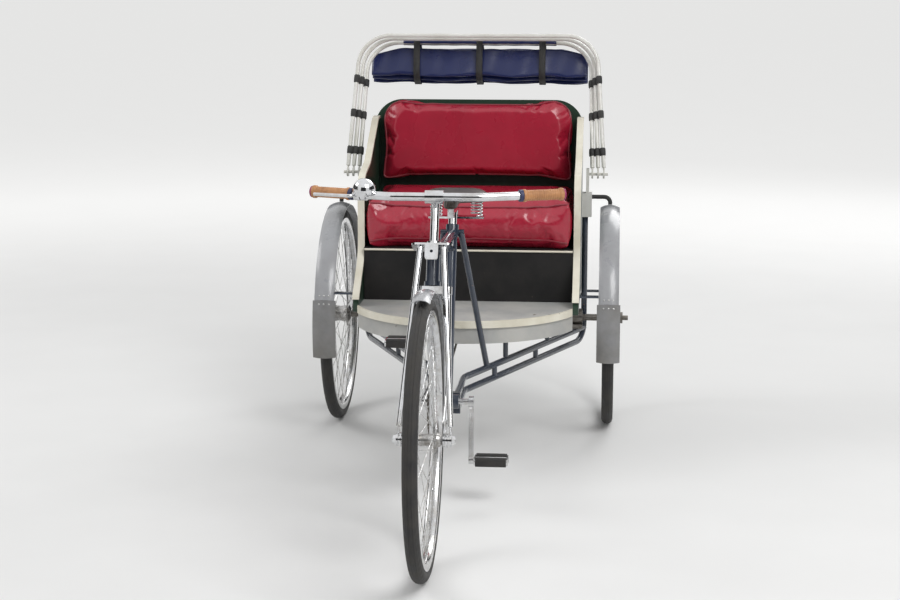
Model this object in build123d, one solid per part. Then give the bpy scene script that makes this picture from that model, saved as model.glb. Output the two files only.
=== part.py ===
"""Three-wheeled cycle rickshaw: a rider's bicycle front end and a passenger bench between two rear wheels.

Millimetres. +X forward, +Y to the vehicle's left, +Z up. The origin is on the ground under the
middle of the whole vehicle's box.
"""

import os
from math import asin, atan2, cos, degrees, pi, radians, sin, sqrt, tan

from build123d import *

os.makedirs("parts", exist_ok=True)

# Driving sizes of the whole vehicle
wheelbase = 1660
body_width = 716
wheel_gap = 95
track = body_width + 2 * wheel_gap
floor_top = 450

# Clearances
seat_gap = 0.3
running_gap = 0.05

# Wheels: tyre and rim sections, hubs and spokes
tyre_radius = 355.5
tyre_width = 37.4
tyre_crown_width = 13
tyre_bead_width = 25.4
tyre_seat_radius = 320
rim_lip_height = 5
rim_wall = 2.4
rim_depth = 17
rim_well_width = 16
spoke_count = 36
spoke_size = 2
spoke_crossings = 3
flange_thickness = 4

front_axle_diameter = 10
front_hub_radius = 16
front_flange_radius = 30
front_hub_length = 92
front_flange_spacing = 58
front_axle_length = 158
front_nut_diameter = 22
front_nut_length = 8

rear_axle_diameter = 22
axle_nut_width = 38
axle_nut_length = 8.7
axle_stub_diameter = 16
axle_stub_length = 18
axle_collar_width = 12
axle_collar_wall = 7
rear_hub_radius = 27
rear_flange_radius = 42
rear_hub_length = 76
rear_flange_spacing = 54

# Mudguards
mudguard_radius = 378
mudguard_width = 64
mudguard_crown = 9
mudguard_sheet = 2
mudguard_start = 17
mudguard_end = 188
flap_width = 74
flap_end = -12
front_mudguard_radius = 376
front_mudguard_width = 46
front_mudguard_start = 78
front_mudguard_end = 196
front_stay_diameter = 5
front_stay_angles = (196, 172)
front_stay_eye = 3
front_hanger_diameter = 14
guard_arm_diameter = 14
guard_arm_bend = 20
guard_bracket_angles = (21, 176)
guard_bracket_width = 20
guard_bracket_thickness = 6

# Steering geometry
head_angle = 68
fork_rake = 75
crown_height = 385
crown_thickness = 20
crown_width = 104
crown_depth = 30
head_tube_length = 96
head_tube_diameter = 36
headset_gap = 1
steerer_diameter = 25.4
blade_diameter = 18
blade_spread_top = 41
blade_bend = 120
blade_bend_radius = 90
dropout_radius = 17
dropout_thickness = 5
truss_diameter = 16
truss_spread_top = 30
truss_spread_axle = 67
truss_tab = 5
truss_eye_radius = 16
truss_rod_start = 34
head_plate_thickness = 5
head_plate_width = 106
head_plate_rim = 17
head_plate_corner = 16
head_cup_diameter = 44
head_cup_length = 12
truss_forward = 46
lamp_hole_radius = 4
lamp_tab_width = 34
lamp_tab_height = 44
lamp_tab_corner = 8

# Handlebar
bar_diameter = 22.2
bar_width = 660
bar_rise = 128
bar_forward = 34
bar_sweep = 22
bar_straight = 230
bar_bend = 80
stem_clamp_wall = 6
stem_clamp_length = 48
stem_nut_diameter = 36
stem_nut_height = 16
grip_diameter = 30
grip_length = 122
grip_over = 4
grip_flange_diameter = 36
grip_end_flange = 12
grip_inner_flange = 14
bell_radius = 30
bell_place = 156
bell_clamp_width = 16
bell_clamp_wall = 4
bell_stalk_diameter = 14
bell_stand = 6
bell_lean = 33.4
lever_place = 138
lever_clamp_width = 18
lever_clamp_wall = 4.5
lever_diameter = 9
lever_bend = 16
lever_reach = 38
lever_tip_reach = 46
lever_tip_place = 30

# Main frame
bracket_height = 300
bracket_shell_diameter = 42
bracket_shell_length = 68
spindle_diameter = 17
seat_cluster_x = 17
seat_cluster_z = 780
main_tube_diameter = 32
down_tube_joint = 34
top_tube_joint = 26
top_tube_drop = 22
top_tube_diameter = 28
seat_tube_diameter = 30
seat_lug_wall = 4
seat_lug_length = 34
stay_diameter = 18
stay_drop = 20
stay_foot_x = -200
stay_lug_diameter = 14

# Cranks, pedals, chain
crank_length = 170
crank_plane = 69
crank_thickness = 14
crank_width = 24
crank_web = 16
crank_boss_diameter = 32
pedal_width = 96
pedal_length = 68
pedal_height = 24
pedal_bar = 22
pedal_plate = 4
pedal_plate_height = 18
pedal_gap = 2
pedal_sleeve_wall = 4
pedal_pin_diameter = 12
chain_pitch = 12.7
chain_links = 196
chainwheel_teeth = 48
sprocket_teeth = 24
chain_line = 45
tooth_thickness = 3
tooth_rise = 3.4
tooth_root = 4.6
tooth_root_width = 6.2
tooth_tip_width = 1.8
window_count = 5
window_angle = 50
window_inner = 34
chainwheel_rim_width = 17
chainwheel_boss_radius = 26
freewheel_radius = 32
freewheel_width = 16
sprocket_collar_radius = 20
sprocket_collar_length = 14
chain_height = 8.2
chain_inner_width = 3.6
chain_plate = 1.5
chain_slot_gap = 8
chain_slot_top = 14

# Rails under the body
rail_diameter = 20
rail_lower_z = 272
rail_pitch = 40
rail_inner_y = 26
rail_turn_x = -60
rail_turn_bend = 120
yoke_setback = 12
yoke_relief_width = 28
yoke_floor = 12
spacer_x = (-250, -520)
bearer_x = (-320, -600)
post_x = -870
post_gap = 12
post_y = body_width / 2 + post_gap
post_top = 690
rail_bend = 60
bearer_diameter = 16
bearing_radius = 29
bearing_length = 36
bearing_foot_length = 68
bearing_foot_height = 14

# Saddle
saddle_x = -22
saddle_top = 872
saddle_length = 262
saddle_width = 206
saddle_thickness = 38
saddle_edge = 14
saddle_back_width = 165
saddle_flare_length = 70
saddle_nose_length = 110
saddle_neck_width = 48
saddle_nose_width = 40
saddle_corners = (40, 55, 90, 19)
seat_post_diameter = 25
seat_post_length = 120
cradle_width = 164
cradle_bar_width = 10
cradle_rear = 120
cradle_front = 100
cradle_nose_width = 18
cradle_nose_length = 20
cradle_bar_height = 12
cradle_bar_drop = 14
cradle_cross_drop = 46
cradle_cross_height = 6
cradle_cross_length = 36
spring_radius = 19
spring_x = -124
spring_y = 60

# Body tub
board_thickness = 20
nose_x = -200
nose_corner_x = -440
apron_depth = 45
apron_thickness = 4
panel_thickness = 18
panel_bottom_front = -450
panel_step_height = 22
arm_front_x = -600
arm_front_low = 595
arm_front_top = 840
arm_rear_x = -760
arm_rear_top = 870
panel_rear_top = 1000
panel_rear_width = 60
panel_corners = (0, 6, 28, 110, 60, 130, 40, 0)
back_foot_x = -985
back_lean = 5.5
back_top = 1065
back_thickness = 16
back_corner = 95
riser_front_x = -570
riser_thickness = 14
riser_sunk = 3
seat_board_top = 620
seat_board_thickness = 16
cushion_thickness = 158
cushion_side_gap = 5
cushion_rear_gap = 6
cushion_overhang = 6
cushion_edge = 22
backrest_gap = 4
backrest_thickness = 72
backrest_top = 1076
backrest_corners = (20, 20, 80, 80)
trim_width = 22
trim_thickness = 9
nose_trim_height = 22
nose_trim_rise = 6
nose_trim_thickness = 8
nose_trim_return = 60
skirt_return = 40

# Hood: its top stands above the back panel's top
hood_rise = 225
hood_pivot_z = 832
hood_tube = 14
# Columns: the rear, middle and front bow. Their feet and tops stand out from the body's sides
bow_feet = [body_width / 2 + gap for gap in (34, 53, 72)]
bow_tops = [body_width / 2 + gap for gap in (22, 32, 42)]
bow_leans = (26, 21.5, 17)
bow_corner = 110
bow_foot_rise = 22
bow_eye_radius = 15
bow_eye_width = 6
bow_neck_diameter = 6
hood_pin_diameter = 10
pivot_block_length = 44
pivot_block_inner = 10
pivot_block_outer = 22
pivot_plate_length = 32
pivot_plate_thickness = 10
pivot_plate_inner = 2
pivot_plate_over = 18
pivot_drop = 62
pivot_pin_over = 14
canopy_depth = 112
canopy_height = 128
canopy_corner = 48
canopy_overhang = 16
canopy_half_width = body_width / 2 + canopy_overhang


def rod(start, end, diameter):
    """A round bar from one point to another."""
    start = Vector(*start)
    end = Vector(*end)
    return Solid.make_cylinder(diameter / 2, (end - start).length, Plane(start, z_dir=end - start))


def joined(pieces):
    """Several touching pieces as one solid."""
    first, *others = pieces
    return first.fuse(*others) if others else first


def bent_rod(points, bends, diameter):
    """A round bar of straight runs and bends, with one bend radius for each inner point."""
    route = [Vector(*point) for point in points]
    pieces = []
    start = route[0]
    for corner, after, bend in zip(route[1:-1], route[2:], bends):
        way_in = (corner - start).normalized()
        way_out = (after - corner).normalized()
        turn = way_in.get_angle(way_out)
        setback = bend * tan(radians(turn) / 2)
        bend_start = corner - way_in * setback
        inward = (way_out - way_in * way_in.dot(way_out)).normalized()
        section = Plane(bend_start, z_dir=way_in) * Circle(diameter / 2)
        turn_axis = Axis(bend_start + inward * bend, way_in.cross(way_out))
        pieces += [rod(start, bend_start, diameter), revolve(section, turn_axis, turn)]
        start = corner + way_out * setback
    return joined([*pieces, rod(start, route[-1], diameter)])


def disc(radius, low_y, high_y):
    """A cylinder along Y, centred on the Y axis."""
    return Solid.make_cylinder(radius, high_y - low_y, Plane((0, low_y, 0), z_dir=(0, 1, 0)))


def block(x, y, z):
    """A box from three (low, high) pairs."""
    size = [high - low for low, high in (x, y, z)]
    middle = [(high + low) / 2 for low, high in (x, y, z)]
    return Pos(*middle) * Box(*size)


def ring_about_y(profile, start=0, end=360):
    """A profile of (radius, y) turned about the Y axis, from one angle to another, upwards from +X."""
    turned = revolve(profile, Axis((0, 0, 0), (0, -1, 0)), end - start)
    return Rot(0, -start, 0) * turned


def side_plate(face, middle_y, thickness):
    """A plate drawn in the X-Z plane, with its thickness along Y."""
    return Pos(0, middle_y, 0) * extrude(Plane.XZ * face, amount=thickness / 2, both=True)


def mirrored(shape):
    """The same shape on the vehicle's other side."""
    return mirror(shape, about=Plane.XZ)


def pair(shape):
    """A shape and its mirror image."""
    return [shape, mirrored(shape)]


def on_circle(middle, radius, angle):
    """A point of a circle, given its middle's two coordinates."""
    return (middle[0] + radius * cos(angle), middle[1] + radius * sin(angle))


def save(node, *pieces):
    """Write one node's solids."""
    solids = [solid for piece in pieces for solid in piece.solids()]
    export_step(Compound(solids), os.path.join("parts", node + ".step"))


# Axle places: the front tyre and the rear mudguards end the vehicle's length
front_x = (wheelbase + mudguard_radius - tyre_radius) / 2
rear_x = front_x - wheelbase
axle_z = tyre_radius
wheel_y = track / 2
body_y = body_width / 2
panel_inner_y = body_y - panel_thickness


def rail_y(x):
    """The left rail's Y at this X behind its turn."""
    share = (x - rail_turn_x) / (post_x - rail_turn_x)
    return rail_inner_y + (post_y - rail_inner_y) * share


bearing_y = rail_y(rear_x)
bearing_half = bearing_length / 2

# The chain loop fixes the distance from the rear axle to the crank axle
chainwheel_radius = chainwheel_teeth * chain_pitch / (2 * pi)
sprocket_radius = sprocket_teeth * chain_pitch / (2 * pi)
radius_step = chainwheel_radius - sprocket_radius


def loop_length(distance):
    """Length of a belt round the two pitch circles at this centre distance."""
    tilt = asin(radius_step / distance)
    straight = distance * cos(tilt)
    return 2 * straight + chainwheel_radius * (pi + 2 * tilt) + sprocket_radius * (pi - 2 * tilt)


chain_centres = (chain_links * chain_pitch - pi * (chainwheel_radius + sprocket_radius)) / 2
for _ in range(40):
    chain_centres += (chain_links * chain_pitch - loop_length(chain_centres)) / 2
bracket_x = rear_x + sqrt(chain_centres**2 - (axle_z - bracket_height) ** 2)


# Wheels, made about the Y axis and then put in place
def tyre():
    """A tyre section of six flats: a crown, two shoulders, two walls and the bead seat."""
    half_section = [
        (tyre_seat_radius, tyre_bead_width / 2),
        (tyre_radius - tyre_width / 2, tyre_width / 2),
        (tyre_radius, tyre_crown_width / 2),
    ]
    other_half = [(radius, -y) for radius, y in reversed(half_section)]
    return ring_about_y(make_face(Polyline(*half_section, *other_half, close=True)))


# The rim's lips stand beside the tyre's walls
wall_slope = (tyre_width - tyre_bead_width) / 2 / (tyre_radius - tyre_width / 2 - tyre_seat_radius)
rim_inner_half = tyre_bead_width / 2 + wall_slope * rim_lip_height + seat_gap
rim_outer_half = rim_inner_half + rim_wall
rim_bed_radius = tyre_seat_radius - seat_gap
rim_lip_radius = rim_bed_radius + rim_lip_height
rim_bottom_radius = rim_bed_radius - rim_depth


def rim():
    """A channel rim: two lips, a flat bed and a narrower spoke face."""
    shoulder = rim_bed_radius - rim_depth / 2
    half_section = [
        (rim_bottom_radius, rim_well_width / 2),
        (shoulder, rim_outer_half),
        (rim_lip_radius, rim_outer_half),
        (rim_lip_radius, rim_inner_half),
        (rim_bed_radius, rim_inner_half),
    ]
    other_half = [(radius, -y) for radius, y in reversed(half_section)]
    return ring_about_y(make_face(Polyline(*half_section, *other_half, close=True)))


def spoked_hub(bore, barrel, flange, length, spacing):
    """A hub with two flanges and crossed spokes that reach the rim."""
    hub = joined(
        [
            disc(barrel, -length / 2, length / 2),
            disc(flange, -spacing / 2 - flange_thickness / 2, -spacing / 2 + flange_thickness / 2),
            disc(flange, spacing / 2 - flange_thickness / 2, spacing / 2 + flange_thickness / 2),
        ]
    )
    per_side = spoke_count // 2
    step = 360 / per_side
    hole_radius = flange - spoke_size * 2
    tip_radius = rim_bottom_radius - seat_gap
    spokes = []
    for side in (-1, 1):
        for index in range(per_side):
            lead = 1 if index % 2 else -1
            root_angle = radians(index * step + (step / 2 if side > 0 else 0))
            tip_angle = root_angle + lead * radians(spoke_crossings * step)
            root_y = side * spacing / 2 + lead * (flange_thickness / 2)
            root = Vector(hole_radius * cos(root_angle), root_y, hole_radius * sin(root_angle))
            tip = Vector(tip_radius * cos(tip_angle), side * spoke_size, tip_radius * sin(tip_angle))
            plane = Plane(root, z_dir=tip - root)
            spokes.append(extrude(plane * Rectangle(spoke_size, spoke_size), (tip - root).length))
    wheel = hub.fuse(*spokes)
    return wheel - disc(bore / 2 + running_gap, -length, length)


front_wheel_place = Pos(front_x, 0, axle_z)
save("front_tyre", front_wheel_place * tyre())
save("front_rim", front_wheel_place * rim())
front_hub = spoked_hub(
    front_axle_diameter,
    front_hub_radius,
    front_flange_radius,
    front_hub_length,
    front_flange_spacing,
)
save("front_hub", front_wheel_place * front_hub)

rear_hub = spoked_hub(
    rear_axle_diameter, rear_hub_radius, rear_flange_radius, rear_hub_length, rear_flange_spacing
)
for side, sign in (("left", 1), ("right", -1)):
    place = Pos(rear_x, sign * wheel_y, axle_z)
    save(f"{side}_tyre", place * tyre())
    save(f"{side}_rim", place * rim())
    save(f"{side}_hub", place * rear_hub)

# Rear axle: one shaft through both hubs, with a nut and a bare stub at each end
nut_inner = wheel_y + rear_hub_length / 2 + seat_gap
shaft_half = nut_inner + axle_nut_length
axle_half = shaft_half + axle_stub_length
axle_shaft = disc(rear_axle_diameter / 2, -shaft_half, shaft_half)
axle_stubs = disc(axle_stub_diameter / 2, -axle_half, axle_half)
axle_nut_face = Plane((0, nut_inner, 0), z_dir=(0, 1, 0)) * RegularPolygon(axle_nut_width / 2, 6)
axle_nut = extrude(axle_nut_face, axle_nut_length)
axle_collar = disc(
    rear_axle_diameter / 2 + axle_collar_wall,
    bearing_y - bearing_half - seat_gap - axle_collar_width,
    bearing_y - bearing_half - seat_gap,
)
rear_axle = joined([axle_shaft, axle_stubs, *pair(axle_nut), *pair(axle_collar)])
save("rear_axle", Pos(rear_x, 0, axle_z) * rear_axle)


# Chainwheel and sprocket: teeth between the rollers of one fixed chain loop
def toothed_disc(teeth, pitch_radius, first_gap):
    """A flat toothed disc about the Y axis, with a gap between teeth at the angle first_gap."""
    step = 2 * pi / teeth
    root = pitch_radius - tooth_root
    tip = pitch_radius + tooth_rise
    root_half = tooth_root_width / 2
    tip_half = tooth_tip_width / 2
    # Columns: radius, then the distance from the tooth's middle line
    flank = ((root, -root_half), (tip, -tip_half), (tip, tip_half), (root, root_half))
    outline = []
    for index in range(teeth):
        middle = first_gap + (index + 0.5) * step
        for radius, width in flank:
            angle = middle + width / radius
            outline.append((radius * cos(angle), radius * sin(angle)))
    face = make_face(Polyline(*outline, close=True))
    return side_plate(face, 0, tooth_thickness)


chain_tilt = asin(radius_step / chain_centres)
line_angle = atan2(axle_z - bracket_height, rear_x - bracket_x)
upper_normal = line_angle - pi / 2 - chain_tilt
lower_normal = line_angle + pi / 2 + chain_tilt
bracket_point = (bracket_x, bracket_height)
axle_point = (rear_x, axle_z)


def loop_face(offset):
    """The area inside the chain loop moved outwards by this much."""
    big = chainwheel_radius + offset
    small = sprocket_radius + offset
    ahead = line_angle + pi
    top_front = on_circle(bracket_point, big, upper_normal)
    top_rear = on_circle(axle_point, small, upper_normal)
    low_rear = on_circle(axle_point, small, lower_normal)
    low_front = on_circle(bracket_point, big, lower_normal)
    outline = (
        Line(top_front, top_rear)
        + ThreePointArc(top_rear, on_circle(axle_point, small, line_angle), low_rear)
        + Line(low_rear, low_front)
        + ThreePointArc(low_front, on_circle(bracket_point, big, ahead), top_front)
    )
    return make_face(outline)


chain_half = chain_height / 2
chain_width = chain_inner_width + 2 * chain_plate
chain = side_plate(loop_face(chain_half) - loop_face(-chain_half), -chain_line, chain_width)
tooth_ways = [
    Pos(x, -chain_line, z) * disc(radius + chain_height, -chain_inner_width / 2, chain_inner_width / 2)
    for x, z, radius in (
        (bracket_x, bracket_height, chainwheel_radius),
        (rear_x, axle_z, sprocket_radius),
    )
]
save("chain", chain - tooth_ways)

spindle_radius = spindle_diameter / 2
chainwheel = toothed_disc(chainwheel_teeth, chainwheel_radius, upper_normal)
window_outer = chainwheel_radius - chainwheel_rim_width
window = ring_about_y(
    make_face(
        Polyline(
            (window_inner, -tooth_thickness),
            (window_outer, -tooth_thickness),
            (window_outer, tooth_thickness),
            (window_inner, tooth_thickness),
            close=True,
        )
    ),
    0,
    window_angle,
)
for index in range(window_count):
    chainwheel -= Rot(0, 360 / window_count * index, 0) * window
boss_end = -(crank_plane - crank_thickness / 2) + chain_line + seat_gap
chainwheel = joined([chainwheel, disc(chainwheel_boss_radius, boss_end, tooth_thickness / 2)])
chainwheel -= disc(spindle_radius + running_gap, -crank_plane, crank_plane)
save("chainwheel", Pos(bracket_x, -chain_line, bracket_height) * chainwheel)

# The chain's upper run isn't a whole number of links, so the sprocket's gaps stand that much farther round
run_links = chain_centres * cos(chain_tilt) / chain_pitch
part_link = run_links - int(run_links)
sprocket_gap = upper_normal + (1 - part_link) * 2 * pi / sprocket_teeth
sprocket = joined(
    [
        toothed_disc(sprocket_teeth, sprocket_radius, sprocket_gap),
        disc(freewheel_radius, -tooth_thickness / 2, freewheel_width),
        disc(sprocket_collar_radius, -sprocket_collar_length, freewheel_width),
    ]
)
sprocket -= disc(rear_axle_diameter / 2 + running_gap, -chain_line, chain_line)
save("sprocket", Pos(rear_x, -chain_line, axle_z) * sprocket)


# Cranks on one spindle, right arm up and left arm down, each with its pedal pin
def crank_arm(sign):
    """An arm along Z with round ends: sign is +1 for the left arm, which points down."""
    low = sign * crank_plane - crank_thickness / 2
    high = low + crank_thickness
    end_z = -sign * crank_length
    web = block((-crank_web / 2, crank_web / 2), (low, high), (min(0, end_z), max(0, end_z)))
    pin_end = sign * (crank_plane + crank_thickness / 2 + pedal_gap + pedal_width + pedal_gap)
    pin_start = sign * crank_plane
    pin = disc(pedal_pin_diameter / 2, min(pin_start, pin_end), max(pin_start, pin_end))
    ends = [disc(crank_boss_diameter / 2, low, high), Pos(0, 0, end_z) * disc(crank_width / 2, low, high)]
    return [web, *ends, Pos(0, 0, end_z) * pin]


spindle_half = crank_plane + crank_thickness / 2
cranks = joined([disc(spindle_radius, -spindle_half, spindle_half), *crank_arm(1), *crank_arm(-1)])
save("cranks", Pos(bracket_x, 0, bracket_height) * cranks)


def pedal(sign):
    """Two rubber blocks between end plates, on a sleeve that turns on the pedal pin."""
    inner = crank_plane + crank_thickness / 2 + pedal_gap
    outer = inner + pedal_width
    half = pedal_length / 2
    tall = pedal_height / 2
    plate_tall = pedal_plate_height / 2
    bars = [
        block((low, low + pedal_bar), (inner + pedal_plate, outer - pedal_plate), (-tall, tall))
        for low in (-half, half - pedal_bar)
    ]
    plates = [
        block((-half, half), (y, y + pedal_plate), (-plate_tall, plate_tall))
        for y in (inner, outer - pedal_plate)
    ]
    sleeve = disc(pedal_pin_diameter / 2 + pedal_sleeve_wall, inner, outer)
    whole = joined([sleeve, *bars, *plates]) - disc(pedal_pin_diameter / 2 + running_gap, 0, 2 * outer)
    whole = whole if sign > 0 else mirrored(whole)
    return Pos(bracket_x, 0, bracket_height - sign * crank_length) * whole


save("pedal_left", pedal(1))
save("pedal_right", pedal(-1))

# Steering axis: a point is given by its height along the axis, how far forward of it, and Y
steer_tilt = radians(90 - head_angle)
steer_up = Vector(-sin(steer_tilt), 0, cos(steer_tilt))
steer_forward = Vector(cos(steer_tilt), 0, sin(steer_tilt))
steer_foot = Vector(front_x, 0, axle_z) - steer_forward * fork_rake


def steered(height, forward=0, side=0):
    """A point in the steering's own directions."""
    point = steer_foot + steer_up * height + steer_forward * forward
    return Vector(point.X, side, point.Z)


def steer_plane(height):
    """A plane square to the steering axis, its own X forward."""
    return Plane(steered(height), x_dir=steer_forward, z_dir=steer_up)


crown_top = crown_height + crown_thickness
head_bottom = crown_top + headset_gap
head_top = head_bottom + head_tube_length
plate_bottom = head_top + headset_gap
plate_top = plate_bottom + head_plate_thickness
bar_height = plate_top + bar_rise

# Fork: crown, steerer, raked blades and dropouts
fork_tab_inner = front_hub_length / 2 + 1
fork_tab_middle = fork_tab_inner + dropout_thickness / 2
crown_face = steer_plane(crown_height) * RectangleRounded(crown_depth, crown_width, crown_depth * 0.4)
crown = extrude(crown_face, crown_thickness)
steerer = rod(steered(crown_height), steered(plate_bottom - seat_gap), steerer_diameter)
blade = bent_rod(
    [
        steered(crown_height + crown_thickness * 0.8, 0, blade_spread_top),
        steered(blade_bend, 0, fork_tab_middle),
        steered(0, fork_rake, fork_tab_middle),
    ],
    [blade_bend_radius],
    blade_diameter,
)
fork_tab_outer = fork_tab_inner + dropout_thickness
dropout = Pos(front_x, 0, axle_z) * disc(dropout_radius, fork_tab_inner, fork_tab_outer)
# The blades' ends are flattened to the dropouts' thickness
flat_end = 2 * front_flange_radius
blade_trim = Pos(front_x, 0, axle_z) * disc(flat_end, fork_tab_inner - 2 * blade_diameter, fork_tab_inner)
blade_cut = Pos(front_x, 0, axle_z) * disc(flat_end, fork_tab_outer, fork_tab_outer + 2 * blade_diameter)
blade = blade - blade_trim - blade_cut
fork = joined([crown, steerer, *pair(joined([blade, dropout]))])
front_axle_way = Pos(front_x, 0, axle_z) * disc(
    front_axle_diameter / 2 + running_gap, -front_axle_length, front_axle_length
)
save("fork", fork - front_axle_way)

# Front axle with its nuts, clamped in the dropouts and the truss rods' tabs
front_end = front_axle_length / 2
truss_inner = truss_spread_axle - truss_tab / 2
truss_outer = truss_spread_axle + truss_tab / 2
front_nut_radius = front_nut_diameter / 2
inner_nut = disc(front_nut_radius, fork_tab_outer + seat_gap, truss_inner - seat_gap)
outer_nut_face = Plane((0, truss_outer + seat_gap, 0), z_dir=(0, 1, 0)) * RegularPolygon(front_nut_radius, 6)
outer_nut = extrude(outer_nut_face, front_nut_length)
front_axle = joined(
    [disc(front_axle_diameter / 2, -front_end, front_end), *pair(inner_nut), *pair(outer_nut)]
)
save("front_axle", Pos(front_x, 0, axle_z) * front_axle)

# Head plate: an oval plate on the head tube that holds the truss rods and the lamp bracket
plate_face = steer_plane(plate_bottom) * Pos(truss_forward / 2, 0) * RectangleRounded(
    truss_forward + 2 * head_plate_rim, head_plate_width, head_plate_corner
)
lamp_tab_forward = truss_forward + head_plate_rim
lamp_tab_middle = plate_top - lamp_tab_height / 2
lamp_tab_face = Plane(
    steered(lamp_tab_middle, lamp_tab_forward), x_dir=(0, 1, 0), z_dir=-steer_forward
) * RectangleRounded(lamp_tab_width, lamp_tab_height, lamp_tab_corner)
lamp_tab = extrude(lamp_tab_face, head_plate_thickness)
head_plate = joined([extrude(plate_face, head_plate_thickness), lamp_tab])
lamp_hole_place = steered(lamp_tab_middle, lamp_tab_forward)
lamp_hole = rod(
    lamp_hole_place + steer_forward * lamp_tab_height,
    lamp_hole_place - steer_forward * lamp_tab_height,
    2 * lamp_hole_radius,
)
head_plate -= lamp_hole
save("head_plate", head_plate)

# Truss rods from the head plate to the front axle
truss_top = steered(plate_bottom - seat_gap, truss_forward, truss_spread_top)
truss_foot = Vector(front_x, truss_spread_axle, axle_z)
truss_way = (truss_top - truss_foot).normalized()
truss_rod = rod(truss_foot + truss_way * truss_rod_start, truss_top, truss_diameter)
truss_top_face = steer_plane(plate_bottom - seat_gap) * Rectangle(4 * truss_forward, head_plate_width)
truss_top_cut = extrude(truss_top_face, head_tube_length)
truss_eye = Pos(front_x, 0, axle_z) * disc(truss_eye_radius, truss_inner, truss_outer)
truss_neck = rod(
    truss_foot + truss_way * (truss_eye_radius - truss_tab / 2),
    truss_foot + truss_way * (truss_rod_start + truss_tab),
    truss_tab,
)
truss = joined([truss_rod, truss_eye, truss_neck]) - truss_top_cut - front_axle_way
save("truss_rods", *pair(truss))

# Stem and handlebar
stem_post = rod(steered(plate_top + seat_gap), steered(bar_height), bar_diameter)
stem_arm = rod(steered(bar_height), steered(bar_height, bar_forward), bar_diameter)
bar_middle = steered(bar_height, bar_forward)
stem_clamp_half = stem_clamp_length / 2
stem_clamp = Pos(*bar_middle) * disc(
    bar_diameter / 2 + stem_clamp_wall, -stem_clamp_half, stem_clamp_half
)
stem_nut = rod(steered(plate_top + seat_gap), steered(plate_top + stem_nut_height), stem_nut_diameter)
bar_way = Pos(*bar_middle) * disc(
    bar_diameter / 2 + running_gap, -stem_clamp_length, stem_clamp_length
)
save("stem", joined([stem_post, stem_arm, stem_clamp, stem_nut]) - bar_way)

bar_end_run = (bar_width - bar_straight) / 2
bar_corner = bar_middle + Vector(0, bar_straight / 2, 0)
bar_back = bar_end_run * tan(radians(bar_sweep))
bar_end = bar_corner + Vector(-bar_back, bar_end_run, 0)
bar_route = [
    Vector(bar_end.X, -bar_end.Y, bar_end.Z),
    Vector(bar_corner.X, -bar_corner.Y, bar_corner.Z),
    bar_corner,
    bar_end,
]
save("handlebar", bent_rod(bar_route, [bar_bend, bar_bend], bar_diameter))

bar_out = (bar_end - bar_corner).normalized()


def on_bar(distance_from_end):
    """A point on the left arm of the bar."""
    return bar_end - bar_out * distance_from_end


grip_bore = rod(on_bar(-seat_gap), on_bar(2 * grip_length), bar_diameter + 2 * seat_gap)
grip = joined(
    [
        rod(on_bar(-grip_over), on_bar(grip_length), grip_diameter),
        rod(on_bar(-grip_over), on_bar(grip_end_flange - grip_over), grip_flange_diameter),
        rod(on_bar(grip_length - grip_inner_flange), on_bar(grip_length), grip_flange_diameter),
    ]
)
save("grips", *pair(grip - grip_bore))

# Bell: a dome on a clamp, on the vehicle's right
bell_left = on_bar(bell_place)
bell_base = Vector(bell_left.X, -bell_left.Y, bell_left.Z)
bell_along = Vector(bar_out.X, -bar_out.Y, 0)
bell_tilt = Vector(sin(radians(bell_lean)), 0, cos(radians(bell_lean)))
bell_plane = Plane(bell_base + bell_tilt * (bar_diameter / 2 + bell_stand), z_dir=bell_tilt)
dome = [on_circle((0, 0), bell_radius, radians(angle)) for angle in (0, 30, 60, 90)]
bell_cup = bell_plane * revolve(Plane.XZ * make_face(Polyline((0, 0), *dome, close=True)), Axis.Z)
bell_clamp = rod(
    bell_base - bell_along * (bell_clamp_width / 2),
    bell_base + bell_along * (bell_clamp_width / 2),
    bar_diameter + 2 * bell_clamp_wall,
)
bell_top = bell_base + bell_tilt * (bar_diameter / 2 + bell_stand + bell_clamp_wall)
bell_stalk = rod(bell_base, bell_top, bell_stalk_diameter)
bell_bar_way = rod(
    bell_base - bell_along * 2 * bell_radius,
    bell_base + bell_along * 2 * bell_radius,
    bar_diameter + 2 * running_gap,
)
save("bell", joined([bell_cup, bell_clamp, bell_stalk]) - bell_bar_way)

# Brake lever: a clamp inboard of the right grip and a blade in front of the grip
lever_start = on_bar(lever_place)
lever_forward = Vector(bar_out.Y, -bar_out.X, 0)
lever_clamp = rod(
    lever_start - bar_out * (lever_clamp_width / 2),
    lever_start + bar_out * (lever_clamp_width / 2),
    bar_diameter + 2 * lever_clamp_wall,
)
lever_route = [
    lever_start,
    lever_start + lever_forward * lever_reach,
    on_bar(lever_tip_place) + lever_forward * lever_tip_reach,
]
lever_blade = bent_rod(lever_route, [lever_bend], lever_diameter)
lever_way = rod(
    lever_start - bar_out * grip_length,
    lever_start + bar_out * grip_length,
    bar_diameter + 2 * running_gap,
)
save("brake_lever", mirrored(joined([lever_clamp, lever_blade]) - lever_way))


# Mudguards: crowned sheet bent round the wheel
def mudguard(radius, width, start, end):
    """A crowned strip of sheet from one angle to another."""
    half = width / 2
    low = radius - mudguard_crown
    inner = radius - mudguard_sheet
    face = make_face(
        ThreePointArc((low, -half), (radius, 0), (low, half))
        + Line((low, half), (low - mudguard_sheet, half))
        + ThreePointArc((low - mudguard_sheet, half), (inner, 0), (low - mudguard_sheet, -half))
        + Line((low - mudguard_sheet, -half), (low, -half))
    )
    return ring_about_y(face, start, end)


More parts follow.
